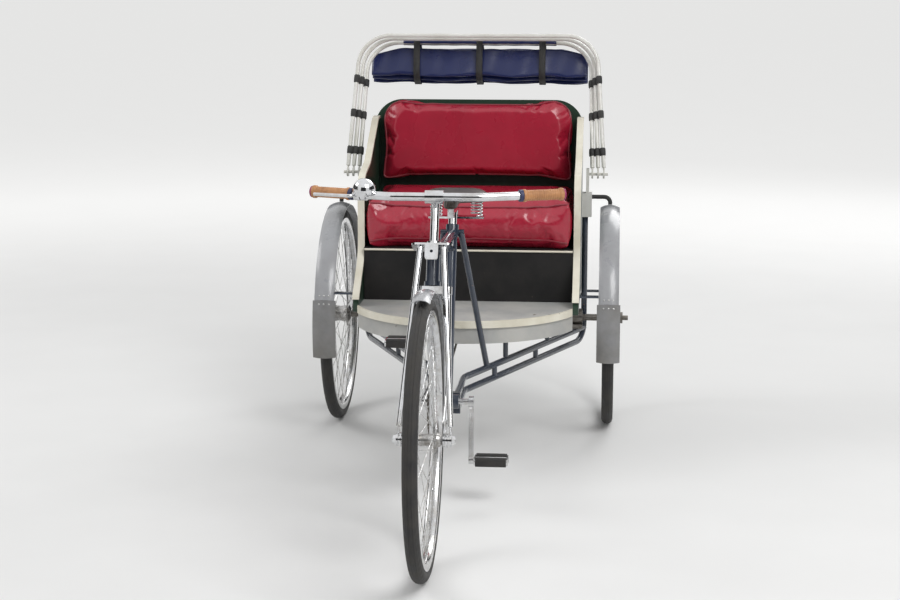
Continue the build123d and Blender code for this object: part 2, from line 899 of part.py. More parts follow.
left_wheel_place = Pos(rear_x, wheel_y, axle_z)
rear_guard = left_wheel_place * mudguard(
    mudguard_radius, mudguard_width, mudguard_start, mudguard_end
)
save("mudguard_left", rear_guard)
save("mudguard_right", mirrored(rear_guard))
flap = left_wheel_place * mudguard(
    mudguard_radius - seat_gap, flap_width, flap_end, mudguard_start - degrees(seat_gap / mudguard_radius)
)
save("mudguard_flaps", *pair(flap))

front_guard = front_wheel_place * mudguard(
    front_mudguard_radius, front_mudguard_width, front_mudguard_start, front_mudguard_end
)
save("front_mudguard", front_guard)

# Front mudguard's stays and its hanger under the crown
guard_edge = front_mudguard_radius - mudguard_crown - mudguard_sheet / 2
stay_y = (fork_tab_outer + truss_inner) / 2
stays = []
for angle in front_stay_angles:
    edge_x, edge_z = on_circle((front_x, axle_z), guard_edge, radians(angle))
    hub_x, hub_z = on_circle((front_x, axle_z), truss_eye_radius, radians(angle))
    side = front_mudguard_width / 2 + (front_stay_diameter + 1) / 2
    stays.append(rod((hub_x, stay_y, hub_z), (edge_x, side, edge_z), front_stay_diameter))
stay_eye = disc(truss_eye_radius + 2, stay_y - front_stay_eye / 2, stay_y + front_stay_eye / 2)
stay_eye -= disc(front_nut_radius + seat_gap, 0, front_axle_length)
stay_eye = Pos(front_x, 0, axle_z) * stay_eye
guard_under = steered(crown_height - seat_gap)
hanger = rod(guard_under, (front_x, 0, axle_z), front_hanger_diameter)
guard_clear = front_wheel_place * disc(
    front_mudguard_radius + seat_gap, -front_mudguard_width, front_mudguard_width
)
crown_clear_face = steer_plane(crown_height - seat_gap) * Rectangle(2 * crown_width, 2 * crown_width)
crown_clear = extrude(crown_clear_face, crown_width)
hanger = hanger - guard_clear - crown_clear
save("front_mudguard_stays", *pair(joined([*stays, stay_eye])), hanger)

# Main frame: head tube, top tube, down tube, seat tube and crank bracket shell
bracket_middle = Vector(bracket_x, 0, bracket_height)
cluster = Vector(seat_cluster_x, 0, seat_cluster_z)
head_tube = rod(steered(head_bottom), steered(head_top), head_tube_diameter)
cup_bottom = rod(steered(head_bottom), steered(head_bottom + head_cup_length), head_cup_diameter)
cup_top = rod(steered(head_top - head_cup_length), steered(head_top), head_cup_diameter)
down_tube = rod(steered(head_bottom + down_tube_joint), bracket_middle, main_tube_diameter)
top_tube_end = cluster - Vector(0, 0, top_tube_drop)
top_tube = rod(steered(head_top - top_tube_joint), top_tube_end, top_tube_diameter)
seat_tube = rod(bracket_middle, cluster, seat_tube_diameter)
seat_way = (cluster - bracket_middle).normalized()
seat_lug_diameter = seat_tube_diameter + 2 * seat_lug_wall
seat_lug = rod(cluster - seat_way * seat_lug_length, cluster, seat_lug_diameter)
shell = Pos(*bracket_middle) * disc(
    bracket_shell_diameter / 2, -bracket_shell_length / 2, bracket_shell_length / 2
)
yoke_x = bracket_x - bracket_shell_diameter / 2 - yoke_setback
yoke_half_y = rail_inner_y + rail_diameter / 2
rail_upper_z = rail_lower_z + rail_pitch
yoke_low = rail_lower_z - rail_diameter / 2
yoke_high = rail_upper_z + rail_diameter / 2
yoke_front = bracket_x - bracket_shell_diameter / 4
yoke = block((yoke_x, yoke_front), (-yoke_half_y, yoke_half_y), (yoke_low, yoke_high))
relief_half = yoke_relief_width / 2
yoke_relief = block(
    (yoke_x, bracket_x), (-relief_half, relief_half), (yoke_low, rail_lower_z + yoke_floor)
)
spindle_way = Pos(*bracket_middle) * disc(
    spindle_radius + running_gap, -bracket_shell_length, bracket_shell_length
)
steerer_way = rod(steered(0), steered(bar_height), steerer_diameter + 2 * running_gap)
post_way_bottom = cluster - seat_way * (seat_post_length + seat_lug_length)
post_way = rod(post_way_bottom, cluster + seat_way * seat_lug_length, seat_post_diameter + 2 * running_gap)
frame = joined(
    [
        head_tube,
        cup_bottom,
        cup_top,
        down_tube,
        top_tube,
        seat_tube,
        seat_lug,
        shell,
        yoke - yoke_relief,
    ]
)
save("main_frame", frame - spindle_way - steerer_way - post_way)

# Twin rails each side: they leave the yoke, spread under the body and the lower one turns up
lower_rail = bent_rod(
    [
        (yoke_x, rail_inner_y, rail_lower_z),
        (rail_turn_x, rail_inner_y, rail_lower_z),
        (post_x, post_y, rail_lower_z),
        (post_x, post_y, post_top),
    ],
    [rail_turn_bend, rail_bend],
    rail_diameter,
)
upper_rail = bent_rod(
    [
        (yoke_x, rail_inner_y, rail_upper_z),
        (rail_turn_x, rail_inner_y, rail_upper_z),
        (post_x, post_y, rail_upper_z),
    ],
    [rail_turn_bend],
    rail_diameter,
)
spacers = [
    rod((x, rail_y(x), rail_lower_z), (x, rail_y(x), rail_upper_z), bearer_diameter) for x in spacer_x
]
rail = joined([*spacers, lower_rail, upper_rail])
save("rail_left", rail)
save("rail_right", mirrored(rail))

# Floor bearers: cross tubes under the floor, on legs from the upper rails and between the posts
board_bottom = floor_top - board_thickness
bearer_z = board_bottom - bearer_diameter / 2
rail_top = rail_upper_z + rail_diameter / 2
nose_depth = nose_x - nose_corner_x
nose_radius = (panel_inner_y**2 + nose_depth**2) / (2 * nose_depth)
nose_middle = nose_x - nose_radius
bearers = []
for x in bearer_x:
    leg = rod((x, rail_y(x), rail_top + seat_gap), (x, rail_y(x), bearer_z), bearer_diameter)
    skirt_inside = nose_radius - apron_thickness - bearer_diameter
    span = sqrt(skirt_inside**2 - (x - nose_middle) ** 2)
    bearers.append(joined([rod((x, -span, bearer_z), (x, span, bearer_z), bearer_diameter), *pair(leg)]))
post_inner = post_y - rail_diameter / 2 - seat_gap
bearers.append(rod((post_x, -post_inner, bearer_z), (post_x, post_inner, bearer_z), bearer_diameter))
save("floor_bearers", *bearers)

# Stays from the seat cluster to the upper rails
stay_side = (seat_tube_diameter + stay_diameter) / 2 + 1
stay_top = cluster - seat_way * stay_drop + Vector(0, stay_side, 0)
stay_foot = Vector(stay_foot_x, rail_y(stay_foot_x), rail_top)
seat_stay = rod(stay_top, stay_foot, stay_diameter)
stay_lug_end = (stay_top.X, stay_top.Y + stay_diameter / 2, stay_top.Z)
stay_lug = rod((stay_top.X, 0, stay_top.Z), stay_lug_end, stay_lug_diameter)
frame_clear = rod(
    cluster - seat_way * 2 * seat_lug_length,
    cluster + seat_way * stay_lug_diameter,
    seat_lug_diameter + 2 * seat_gap,
)
save("seat_stays", *pair(joined([seat_stay, stay_lug]) - frame_clear - rail))

# Rear axle bearings on the upper rails
bearing_foot_half = bearing_foot_length / 2
bearing_floor = rail_top + seat_gap
bearing = joined(
    [
        Pos(rear_x, bearing_y, axle_z) * disc(bearing_radius, -bearing_half, bearing_half),
        block(
            (rear_x - bearing_foot_half, rear_x + bearing_foot_half),
            (bearing_y - bearing_half, bearing_y + bearing_half),
            (bearing_floor, bearing_floor + bearing_foot_height),
        ),
    ]
)
bearing -= Pos(rear_x, 0, axle_z) * disc(rear_axle_diameter / 2 + running_gap, 0, wheel_y)
bearing -= block(
    (rear_x - bearing_foot_length, rear_x + bearing_foot_length), (0, wheel_y), (0, bearing_floor)
)
save("axle_bearings", *pair(bearing))

# Saddle, its post and its springs
saddle_bottom = saddle_top - saddle_thickness
cradle_top = saddle_bottom - seat_gap
cradle_bar_top = cradle_top - cradle_bar_drop
cradle_bar_low = cradle_bar_top - cradle_bar_height
cradle_cross_top = cradle_top - cradle_cross_drop
post_end = cluster + seat_way * ((cradle_bar_top - cradle_bar_height / 2 - seat_cluster_z) / seat_way.Z)
seat_post = rod(cluster - seat_way * seat_post_length, post_end, seat_post_diameter)
bar_half = cradle_bar_width / 2
cradle_bar = block(
    (saddle_x - cradle_rear, saddle_x + cradle_front), (-bar_half, bar_half), (cradle_bar_low, cradle_bar_top)
)
cradle_nose = block(
    (saddle_x + cradle_front - cradle_nose_length, saddle_x + cradle_front),
    (-cradle_nose_width / 2, cradle_nose_width / 2),
    (cradle_bar_low, cradle_top),
)
cradle_cross = block(
    (saddle_x - cradle_rear, saddle_x - cradle_rear + cradle_cross_length),
    (-cradle_width / 2, cradle_width / 2),
    (cradle_cross_top - cradle_cross_height, cradle_cross_top),
)
cradle_riser = block(
    (spring_x - cradle_bar_width, spring_x + cradle_bar_width),
    (-bar_half, bar_half),
    (cradle_cross_top - cradle_cross_height / 2, cradle_bar_top),
)
save("seat_post", joined([seat_post, cradle_bar, cradle_nose, cradle_cross, cradle_riser]))

saddle_rear = saddle_x - saddle_length / 2
saddle_nose = saddle_x + saddle_length / 2
# Columns: X, half width. Each row stands once on each side
saddle_half = (
    (saddle_rear, saddle_back_width / 2),
    (saddle_rear + saddle_flare_length, saddle_width / 2),
    (saddle_nose - saddle_nose_length, saddle_neck_width / 2),
    (saddle_nose, saddle_nose_width / 2),
)
saddle_outline = FilletPolyline(
    *[(x, -side) for x, side in saddle_half],
    *[(x, side) for x, side in reversed(saddle_half)],
    radius=[*saddle_corners, *reversed(saddle_corners)],
    close=True,
)
saddle = extrude(Pos(0, 0, saddle_bottom) * make_face(saddle_outline), saddle_thickness)
save("saddle", chamfer(saddle.edges().group_by(Axis.Z)[-1], saddle_edge))

# A plain cylinder stands for each coil spring between the cradle and the saddle
spring_low = cradle_cross_top + seat_gap
spring_foot = Plane((spring_x, spring_y, spring_low))
spring = Solid.make_cylinder(spring_radius, cradle_top - spring_low, spring_foot)
save("saddle_springs", *pair(spring))


# Footboard: a board with a round nose and a skirt under its front edge
def board_face(grow, rear_x_end):
    """The board's outline seen from above, grown outwards at its nose."""
    half = panel_inner_y
    radius = nose_radius + grow
    reach = nose_middle + sqrt(radius**2 - half**2)
    return make_face(
        ThreePointArc((reach, -half), (nose_middle + radius, 0), (reach, half))
        + Polyline((reach, half), (rear_x_end, half), (rear_x_end, -half), (reach, -half))
    )


board = extrude(Pos(0, 0, board_bottom) * board_face(0, back_foot_x), board_thickness)
skirt_face = board_face(0, nose_corner_x - skirt_return) - board_face(
    -apron_thickness, nose_corner_x - 2 * skirt_return
)
skirt = extrude(Pos(0, 0, board_bottom - apron_depth) * skirt_face, apron_depth)
chain_slot_half = chain_width / 2 + chain_slot_gap
skirt -= block(
    (nose_corner_x, nose_x),
    (-chain_line - chain_slot_half, -chain_line + chain_slot_half),
    (board_bottom - apron_depth, board_bottom - chain_slot_top),
)
riser_housing = block(
    (riser_front_x - riser_thickness, riser_front_x),
    (-body_y, body_y),
    (floor_top - riser_sunk, floor_top),
)
save("footboard", joined([board, skirt]) - riser_housing)

nose_trim_face = board_face(nose_trim_thickness, nose_corner_x) - board_face(
    0, nose_corner_x - nose_trim_return
)
nose_trim_low = floor_top + nose_trim_rise - nose_trim_height
nose_trim = extrude(Pos(0, 0, nose_trim_low) * nose_trim_face, nose_trim_height)
save("footboard_trim", nose_trim)

# Side panels: their rear edge follows the back's lean
lean = tan(radians(back_lean))


def back_x(z):
    """X of the back panel's front face at this height."""
    return back_foot_x - (z - board_bottom) * lean


side_outline = FilletPolyline(
    (back_x(board_bottom), board_bottom),
    (panel_bottom_front, board_bottom),
    (panel_bottom_front, floor_top + panel_step_height),
    (arm_front_x, arm_front_low),
    (arm_front_x, arm_front_top),
    (arm_rear_x, arm_rear_top),
    (back_x(panel_rear_top) + panel_rear_width, panel_rear_top),
    (back_x(panel_rear_top), panel_rear_top),
    radius=panel_corners,
    close=True,
)
side_face = make_face(side_outline)
panel_middle = body_y - panel_thickness / 2
side_panel = side_plate(side_face, panel_middle, panel_thickness)
save("side_panel_left", side_panel)
save("side_panel_right", mirrored(side_panel))

# Trim along the side panels' front and top edges
trim_ring = offset(side_face, trim_thickness) - offset(side_face, seat_gap)
trim_rear_x = back_x(panel_rear_top) + trim_thickness / 2
trim_front_x = panel_bottom_front + 2 * trim_thickness
trim_keep = make_face(
    Polyline(
        (trim_front_x, floor_top + panel_step_height),
        (trim_front_x, back_top),
        (trim_rear_x, back_top),
        (trim_rear_x, panel_rear_top - panel_rear_width),
        (arm_rear_x, floor_top + panel_step_height),
        close=True,
    )
)

# Back panel: a leaning board with rounded top corners
back_length = (back_top - board_bottom) / cos(radians(back_lean))
back_plane = Plane(
    (back_foot_x, 0, board_bottom),
    x_dir=(0, 1, 0),
    z_dir=(-cos(radians(back_lean)), 0, -sin(radians(back_lean))),
)
back_up = 1 if back_plane.y_dir.Z > 0 else -1
back_outline = FilletPolyline(
    (-body_y, 0),
    (body_y, 0),
    (body_y, back_up * back_length),
    (-body_y, back_up * back_length),
    radius=[0, 0, back_corner, back_corner],
    close=True,
)
back_panel = extrude(back_plane * make_face(back_outline), back_thickness)
save("back_panel", back_panel)
behind_face = back_plane * Rectangle(4 * body_width, 4 * body_width)
back_side = extrude(behind_face, body_width)
side_trim = side_plate(trim_ring & trim_keep, panel_middle, trim_width) - back_side
save("side_trim", *pair(side_trim))

# Seat box: a riser in front and a board on top
riser_y = panel_middle - trim_width / 2 - seat_gap
riser = block(
    (riser_front_x - riser_thickness, riser_front_x),
    (-riser_y, riser_y),
    (floor_top - riser_sunk, seat_board_top),
)
seat_board_bottom = seat_board_top - seat_board_thickness
seat_board = block(
    (back_x(seat_board_bottom), riser_front_x),
    (-riser_y, riser_y),
    (seat_board_bottom, seat_board_top),
)
save("seat_box", joined([riser, seat_board]) - back_side)

# Cushions
cushion_y = panel_inner_y - cushion_side_gap
cushion_top = seat_board_top + seat_gap + cushion_thickness
backrest_low = cushion_top + seat_gap + backrest_gap
cushion_rear_x = back_x(seat_board_top) + seat_gap + cushion_rear_gap
cushion = block(
    (cushion_rear_x, riser_front_x + cushion_overhang),
    (-cushion_y, cushion_y),
    (seat_board_top + seat_gap, cushion_top),
)
cushion = fillet(cushion.edges().filter_by(Axis.Y).group_by(Axis.Z)[-1], cushion_edge)
save("seat_cushion", cushion)

rest_height = (backrest_top - backrest_low) / cos(radians(back_lean))
rest_plane = Plane(
    (back_x(backrest_low) + seat_gap, 0, backrest_low),
    x_dir=(0, 1, 0),
    z_dir=(cos(radians(back_lean)), 0, sin(radians(back_lean))),
)
rest_up = 1 if rest_plane.y_dir.Z > 0 else -1
rest_outline = FilletPolyline(
    (-cushion_y, 0),
    (cushion_y, 0),
    (cushion_y, rest_up * rest_height),
    (-cushion_y, rest_up * rest_height),
    radius=backrest_corners,
    close=True,
)
save("seat_back", extrude(rest_plane * make_face(rest_outline), backrest_thickness))

# Hood: three bows on one pin each side. The rear bow is fixed
hood_pivot = Vector(post_x, 0, hood_pivot_z)


def bow(foot_y, top_y, lean_back, reach):
    """An upside-down U that leans back from the pivot."""
    away = radians(lean_back)
    up = Vector(-sin(away), 0, cos(away))
    top = hood_pivot + up * reach
    foot = hood_pivot + up * bow_foot_rise
    points = [
        Vector(foot.X, -foot_y, foot.Z),
        Vector(top.X, -top_y, top.Z),
        Vector(top.X, top_y, top.Z),
        Vector(foot.X, foot_y, foot.Z),
    ]
    tube = bent_rod(points, [bow_corner, bow_corner], hood_tube)
    eye = Pos(*hood_pivot) * disc(bow_eye_radius, foot_y - bow_eye_width / 2, foot_y + bow_eye_width / 2)
    neck_low = Vector(hood_pivot.X, foot_y, hood_pivot.Z) + up * (hood_pin_diameter / 2 + 1)
    neck = rod(neck_low, Vector(foot.X, foot_y, foot.Z) + up * hood_tube / 2, bow_neck_diameter)
    pin_way = Pos(*hood_pivot) * disc(hood_pin_diameter / 2 + running_gap, -2 * foot_y, 2 * foot_y)
    return joined([tube, *pair(joined([eye, neck]))]) - pin_way


hood_height = back_top + hood_rise
hood_reach = (hood_height - hood_pivot_z - hood_tube / 2) / cos(radians(bow_leans[-1]))
bow_nodes = ("hood_rear_bow", "hood_middle_bow", "hood_front_bow")
for node, foot_y, top_y, lean_back in zip(bow_nodes, bow_feet, bow_tops, bow_leans):
    save(node, bow(foot_y, top_y, lean_back, hood_reach))

# Hood pivots: a block on each post's top, a plate up the panel's side and the pin
pivot_block_top = hood_pivot_z - pivot_drop
pivot_block = block(
    (post_x - pivot_block_length / 2, post_x + pivot_block_length / 2),
    (post_y - pivot_block_inner, post_y + pivot_block_outer),
    (post_top + seat_gap, pivot_block_top),
)
pivot_plate_y = post_y + pivot_plate_inner
pivot_plate = block(
    (post_x - pivot_plate_length / 2, post_x + pivot_plate_length / 2),
    (pivot_plate_y, pivot_plate_y + pivot_plate_thickness),
    (pivot_block_top - pivot_plate_thickness, hood_pivot_z + pivot_plate_over),
)
pin_end = bow_feet[-1] + pivot_pin_over
pivot_pin = Pos(*hood_pivot) * disc(hood_pin_diameter / 2, pivot_plate_y, pin_end)
save("hood_pivots", *pair(joined([pivot_block, pivot_plate, pivot_pin])))

# Folded canopy: a closed bundle that hangs behind the rear bow's top
canopy_lean = radians(bow_leans[0])
bundle_up = Vector(-sin(canopy_lean), 0, cos(canopy_lean))
bundle_back = Vector(-cos(canopy_lean), 0, -sin(canopy_lean))
bundle_middle = (
    hood_pivot
    + bundle_up * (hood_reach + hood_tube / 2 - canopy_height / 2)
    + bundle_back * (hood_tube / 2 + seat_gap + canopy_depth / 2)
)
bundle_plane = Plane(bundle_middle, x_dir=bundle_back, z_dir=(0, 1, 0))
bundle_face = bundle_plane * RectangleRounded(canopy_depth, canopy_height, canopy_corner)
save("canopy", extrude(bundle_face, canopy_half_width, both=True))

# Mudguard arms and brackets
arm_z = axle_z + sqrt(mudguard_radius**2 - (post_x - rear_x) ** 2)
guard_arm_top = arm_z + guard_arm_bend + guard_arm_diameter / 2 - 1
guard_arm_start = post_y + pivot_block_outer + seat_gap
guard_arm_route = [
    (post_x, guard_arm_start, guard_arm_top),
    (post_x, wheel_y, guard_arm_top),
    (post_x, wheel_y, arm_z - guard_arm_bend),
]
guard_arm = bent_rod(guard_arm_route, [guard_arm_bend], guard_arm_diameter)
guard_solid = left_wheel_place * disc(mudguard_radius + seat_gap, -mudguard_width, mudguard_width)
save("mudguard_arms", *pair(guard_arm - guard_solid))

guard_bracket_radius = mudguard_radius - mudguard_crown - 2 * mudguard_sheet
guard_bracket_outer = wheel_y - mudguard_width / 2 - seat_gap
bracket_pieces = []
for angle in guard_bracket_angles:
    edge_x, edge_z = on_circle((rear_x, axle_z), guard_bracket_radius, radians(angle))
    bracket_pieces.append(
        block(
            (edge_x - guard_bracket_width / 2, edge_x + guard_bracket_width / 2),
            (panel_middle + trim_width / 2 + seat_gap, guard_bracket_outer),
            (edge_z - guard_bracket_thickness / 2, edge_z + guard_bracket_thickness / 2),
        )
    )
save("mudguard_brackets", *[piece for part in bracket_pieces for piece in pair(part)])
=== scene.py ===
import bmesh
import bpy
import numpy as np
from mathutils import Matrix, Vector


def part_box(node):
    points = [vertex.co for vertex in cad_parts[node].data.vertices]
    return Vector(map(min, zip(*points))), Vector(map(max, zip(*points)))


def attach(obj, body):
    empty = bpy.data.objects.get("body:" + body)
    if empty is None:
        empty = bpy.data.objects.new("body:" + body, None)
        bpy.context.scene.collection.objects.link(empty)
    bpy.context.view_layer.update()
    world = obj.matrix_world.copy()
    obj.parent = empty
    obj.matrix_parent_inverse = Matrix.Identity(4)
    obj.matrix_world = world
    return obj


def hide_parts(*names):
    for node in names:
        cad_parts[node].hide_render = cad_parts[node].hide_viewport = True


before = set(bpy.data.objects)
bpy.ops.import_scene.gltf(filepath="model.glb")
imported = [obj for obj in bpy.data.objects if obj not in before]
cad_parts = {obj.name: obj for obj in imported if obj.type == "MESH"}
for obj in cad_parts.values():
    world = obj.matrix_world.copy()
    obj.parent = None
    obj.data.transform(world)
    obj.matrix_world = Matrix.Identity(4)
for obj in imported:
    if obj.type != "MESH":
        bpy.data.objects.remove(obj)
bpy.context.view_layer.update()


# Camera
# It stands in front of the rickshaw at eye height, a little to the vehicle's left, as the photograph's did,
# and is turned and zoomed so that the whole vehicle fills the frame.
def placed(name, data, place=(0, 0, 0), target=None):
    """An object in the scene for a mesh, a camera or a lamp, turned to look at a target if it has one."""
    made = bpy.data.objects.new(name, data)
    made.location = place
    if target:
        made.rotation_euler = (Vector(target) - Vector(place)).to_track_quat("-Z", "Y").to_euler()
    bpy.context.scene.collection.objects.link(made)
    return made


camera_place, camera_target = (5.26, 0.45, 1.52), (0.1, 0.0, 0.575)
sensor_width = 36.0
view_width = np.radians(27.5)
camera = bpy.data.cameras.new("view")
camera.sensor_width = sensor_width
camera.lens = sensor_width / 2 / np.tan(view_width / 2)
bpy.context.scene.camera = placed("view", camera, camera_place, camera_target)
bpy.context.scene.view_settings.view_transform = "Standard"


# Floor, daylight and lamps
# A pale studio floor, a soft white surround, and three large soft lamps: above the front, at the right side and
# behind. Black flags, which only reflections see, put dark bands into the chrome.
def feed(tree, sockets, values):
    """Joins sockets to other nodes' outputs, or sets them to numbers or colours."""
    for socket, value in values.items():
        if isinstance(value, bpy.types.NodeSocket):
            tree.links.new(value, sockets[socket])
        else:
            sockets[socket].default_value = (*value, 1) if isinstance(value, tuple) else value


def node(tree, kind, inputs=None, **settings):
    """A shader node with its settings and its inputs."""
    made = tree.nodes.new("ShaderNode" + kind)
    for key, value in settings.items():
        setattr(made, key, value)
    feed(tree, made.inputs, inputs or {})
    return made


def new_finish(name, color, roughness, **more):
    """A material, its node tree and the sockets of its one Principled shader, which hold the constant values."""
    material = bpy.data.materials.new(name)
    material.use_nodes = True
    tree = material.node_tree
    shader = tree.nodes["Principled BSDF"].inputs
    constants = {socket.replace("_", " "): value for socket, value in more.items()}
    feed(tree, shader, {"Base Color": color, "Roughness": roughness, **constants})
    return material, tree, shader


def object_place(tree):
    """The point in the object's own coordinates, in metres."""
    return node(tree, "TexCoord").outputs["Object"]


def noise(tree, scale, detail=5.0, rough=0.6, distortion=0.0):
    """A noise value over the object's own coordinates."""
    inputs = {"Scale": scale, "Detail": detail, "Roughness": rough, "Distortion": distortion}
    return node(tree, "TexNoise", {"Vector": object_place(tree), **inputs}).outputs["Fac"]


def stretch(tree, value, low, high, new_low=0.0, new_high=1.0, **settings):
    """A value taken from one range to another and held there at both ends."""
    inputs = {"Value": value, "From Min": low, "From Max": high, "To Min": new_low, "To Max": new_high}
    return node(tree, "MapRange", inputs, **settings).outputs[0]


def maths(tree, first, second, operation="MULTIPLY"):
    """The product of two values, or what another operation makes of them."""
    return node(tree, "Math", {0: first, 1: second}, operation=operation).outputs[0]


def blended(tree, mask, first, second):
    """One colour where the mask is 0 and another where it is 1."""
    return node(tree, "Mix", {"Factor": mask, 6: first, 7: second}, data_type="RGBA").outputs[2]


def background_rays(tree):
    """1 for the rays that show the background: the camera's, a reflection's and those through glass."""
    rays = node(tree, "LightPath").outputs
    seen = maths(tree, rays["Is Camera Ray"], rays["Is Glossy Ray"], "MAXIMUM")
    return maths(tree, seen, rays["Is Transmission Ray"], "MAXIMUM")


def studio_sheet(name, corners, material):
    """A flat four-cornered sheet that belongs to the studio and not to the rickshaw."""
    mesh = bpy.data.meshes.new(name)
    mesh.from_pydata(corners, [], [(0, 1, 2, 3)])
    mesh.materials.append(material)
    sheet = placed(name, mesh)
    return sheet


floor_reach = 400.0
floor_dark, floor_pale = (0.76, 0.76, 0.755), (0.80, 0.80, 0.795)
floor_rough = 0.75
glow_color, glow_strength = (1.0, 1.0, 0.99), 0.40
glow_start, glow_end = 3.0, 7.4
floor_finish, tree, shader = new_finish(
    "studio_floor", floor_pale, floor_rough, Specular_IOR_Level=0.0, Emission_Color=glow_color
)
tone = blended(tree, noise(tree, scale=3.0, detail=5.0, rough=0.5), floor_dark, floor_pale)
# Beyond the lamps' reach the floor glows for the camera, and for reflections, as pale as it is lit near by
away = node(tree, "VectorMath", {0: object_place(tree)}, operation="LENGTH").outputs["Value"]
far = stretch(tree, away, glow_start, glow_end, 0.0, glow_strength, interpolation_type="SMOOTHSTEP")
feed(tree, shader, {"Base Color": tone, "Emission Strength": maths(tree, background_rays(tree), far)})
square = ((-1, -1), (1, -1), (1, 1), (-1, 1))
studio_sheet("studio_floor", [(floor_reach * x, floor_reach * y, 0) for x, y in square], floor_finish)

# The surround is white above and as pale as the floor at the horizon. It lights less than it shows
surround = bpy.data.worlds.new("surround")
bpy.context.scene.world = surround
surround.use_nodes = True
sky = surround.node_tree
sky.nodes.clear()
soft_light, white_height = 0.5, 0.45
strength = stretch(sky, background_rays(sky), 0.0, 1.0, soft_light, 1.0)
height = node(sky, "SeparateXYZ", {0: node(sky, "TexCoord").outputs["Generated"]}).outputs["Z"]
gradient = node(sky, "ValToRGB", {"Fac": height})
for stop, position, color in zip(gradient.color_ramp.elements, (0.0, white_height), (floor_pale, (1, 1, 1))):
    stop.position, stop.color = position, (*color, 1)
light = node(sky, "Background", {"Color": gradient.outputs["Color"], "Strength": strength})
node(sky, "OutputWorld", {"Surface": light.outputs[0]})

# Columns: name, place, aimed at, width, watts
lamps = (
    ("front_lamp", (3.2, 2.6, 4.4), (0.0, 0.0, 0.4), 2.6, 165),
    ("side_lamp", (-0.5, -5.4, 4.0), (-0.2, 0.0, 0.5), 3.0, 115),
    ("rear_lamp", (-4.8, 2.0, 4.6), (-0.4, 0.0, 0.6), 3.2, 115),
)
for name, place, target, width, watts in lamps:
    lamp = bpy.data.lights.new(name, "AREA")
    lamp.size, lamp.energy = width, watts
    placed(name, lamp, place, target)

flag_cloth = new_finish("flag_cloth", (0.02, 0.02, 0.022), 0.9)[0]
# Columns: name, two lower corners (X, Y), bottom and top height
flags = (
    ("left_flag", (-3.5, 3.4), (2.4, 3.4), 1.0, 2.6),
    ("right_flag", (2.4, -3.4), (-3.5, -3.4), 1.0, 2.6),
    ("front_flag", (7.0, 3.2), (7.0, -3.2), 0.0, 4.6),
    ("rear_flag", (-6.5, -2.6), (-6.5, 2.6), 1.0, 3.0),
)
for name, start, end, bottom, top in flags:
    corners = [(*start, bottom), (*end, bottom), (*end, top), (*start, top)]
    flag = studio_sheet(name, corners, flag_cloth)
    flag.visible_camera = flag.visible_diffuse = flag.visible_shadow = flag.visible_transmission = False


# Frame
# Brazed steel tubes: the bicycle front frame, the twin rails under the body, the stays and the cross tubes.
# They are enamelled dark blue-grey. The enamel is chipped and dusty.
def new_group(name, outputs, **inputs):
    """A shader node group, and what it is given and what is wanted of it. Three numbers are a colour."""
    group = bpy.data.node_groups.new(name, "ShaderNodeTree")
    for socket, value in inputs.items():
        kind = "NodeSocketColor" if isinstance(value, tuple) else "NodeSocketFloat"
        made = group.interface.new_socket(socket, in_out="INPUT", socket_type=kind)
        made.default_value = (*value, 1) if isinstance(value, tuple) else value
    for socket in outputs:
        kind = "NodeSocketColor" if socket == "Color" else "NodeSocketFloat"
        group.interface.new_socket(socket, in_out="OUTPUT", socket_type=kind)
    return group, group.nodes.new("NodeGroupInput").outputs, group.nodes.new("NodeGroupOutput").inputs


# Drift: two colours mixed by soft noise, as in paint and rubber that have aged unevenly
drift_group, given, wanted = new_group("drift", ("Color", "Mask"), First=(0, 0, 0), Second=(1, 1, 1), Scale=8.0)
mask = stretch(drift_group, noise(drift_group, given["Scale"], detail=6.0), 0.35, 0.65)
color = blended(drift_group, mask, given["First"], given["Second"])
feed(drift_group, wanted, {"Color": color, "Mask": mask})

# Road dust: a pale coat that is thickest near the road and breaks up above it
dust_color = (0.42, 0.38, 0.32)
dust_group, given, wanted = new_group(
    "road_dust", ("Color", "Mask"), Color=(0, 0, 0), Dust=dust_color, Top=0.6, Amount=0.5
)
above = node(dust_group, "SeparateXYZ", {0: object_place(dust_group)}).outputs["Z"]
level = stretch(dust_group, above, 0.05, given["Top"], 1.0, 0.15)
clouds = stretch(dust_group, noise(dust_group, scale=14.0, detail=8.0, rough=0.7), 0.38, 0.7, 0.3, 1.0)
mask = maths(dust_group, maths(dust_group, level, clouds), given["Amount"])
color = blended(dust_group, mask, given["Color"], given["Dust"])
feed(dust_group, wanted, {"Color": color, "Mask": mask})

# Chips: small hard-edged spots where the paint is gone, gathered in patches
chip_group, given, wanted = new_group(
    "paint_chips", ("Color", "Mask", "Height"), Color=(0, 0, 0), Bare=(0.2, 0.1, 0.06), Scale=70.0, Amount=0.5
)
spots = noise(chip_group, given["Scale"], detail=4.0, rough=0.55)
patches = stretch(chip_group, noise(chip_group, scale=6.0, detail=2.0), 0.5, 0.72, 0.0, 0.36)
spots = maths(chip_group, maths(chip_group, patches, given["Amount"]), spots, "ADD")
mask = stretch(chip_group, spots, 0.80, 0.83)
color = blended(chip_group, mask, given["Color"], given["Bare"])
feed(chip_group, wanted, {"Color": color, "Mask": mask, "Height": maths(chip_group, 1.0, mask, "SUBTRACT")})


def use_group(tree, group, **inputs):
    """The outputs of a shared effect, placed in a material with its own values."""
    return node(tree, "Group", inputs, node_tree=group).outputs


def worn(tree, shader, color, rough, height, strength, distance):
    """Feeds a shader with a colour, a roughness and a bump of this strength and distance over a height."""
    normal = node(tree, "Bump", {"Height": height, "Strength": strength, "Distance": distance})
    feed(tree, shader, {"Base Color": color, "Roughness": rough, "Normal": normal.outputs["Normal"]})


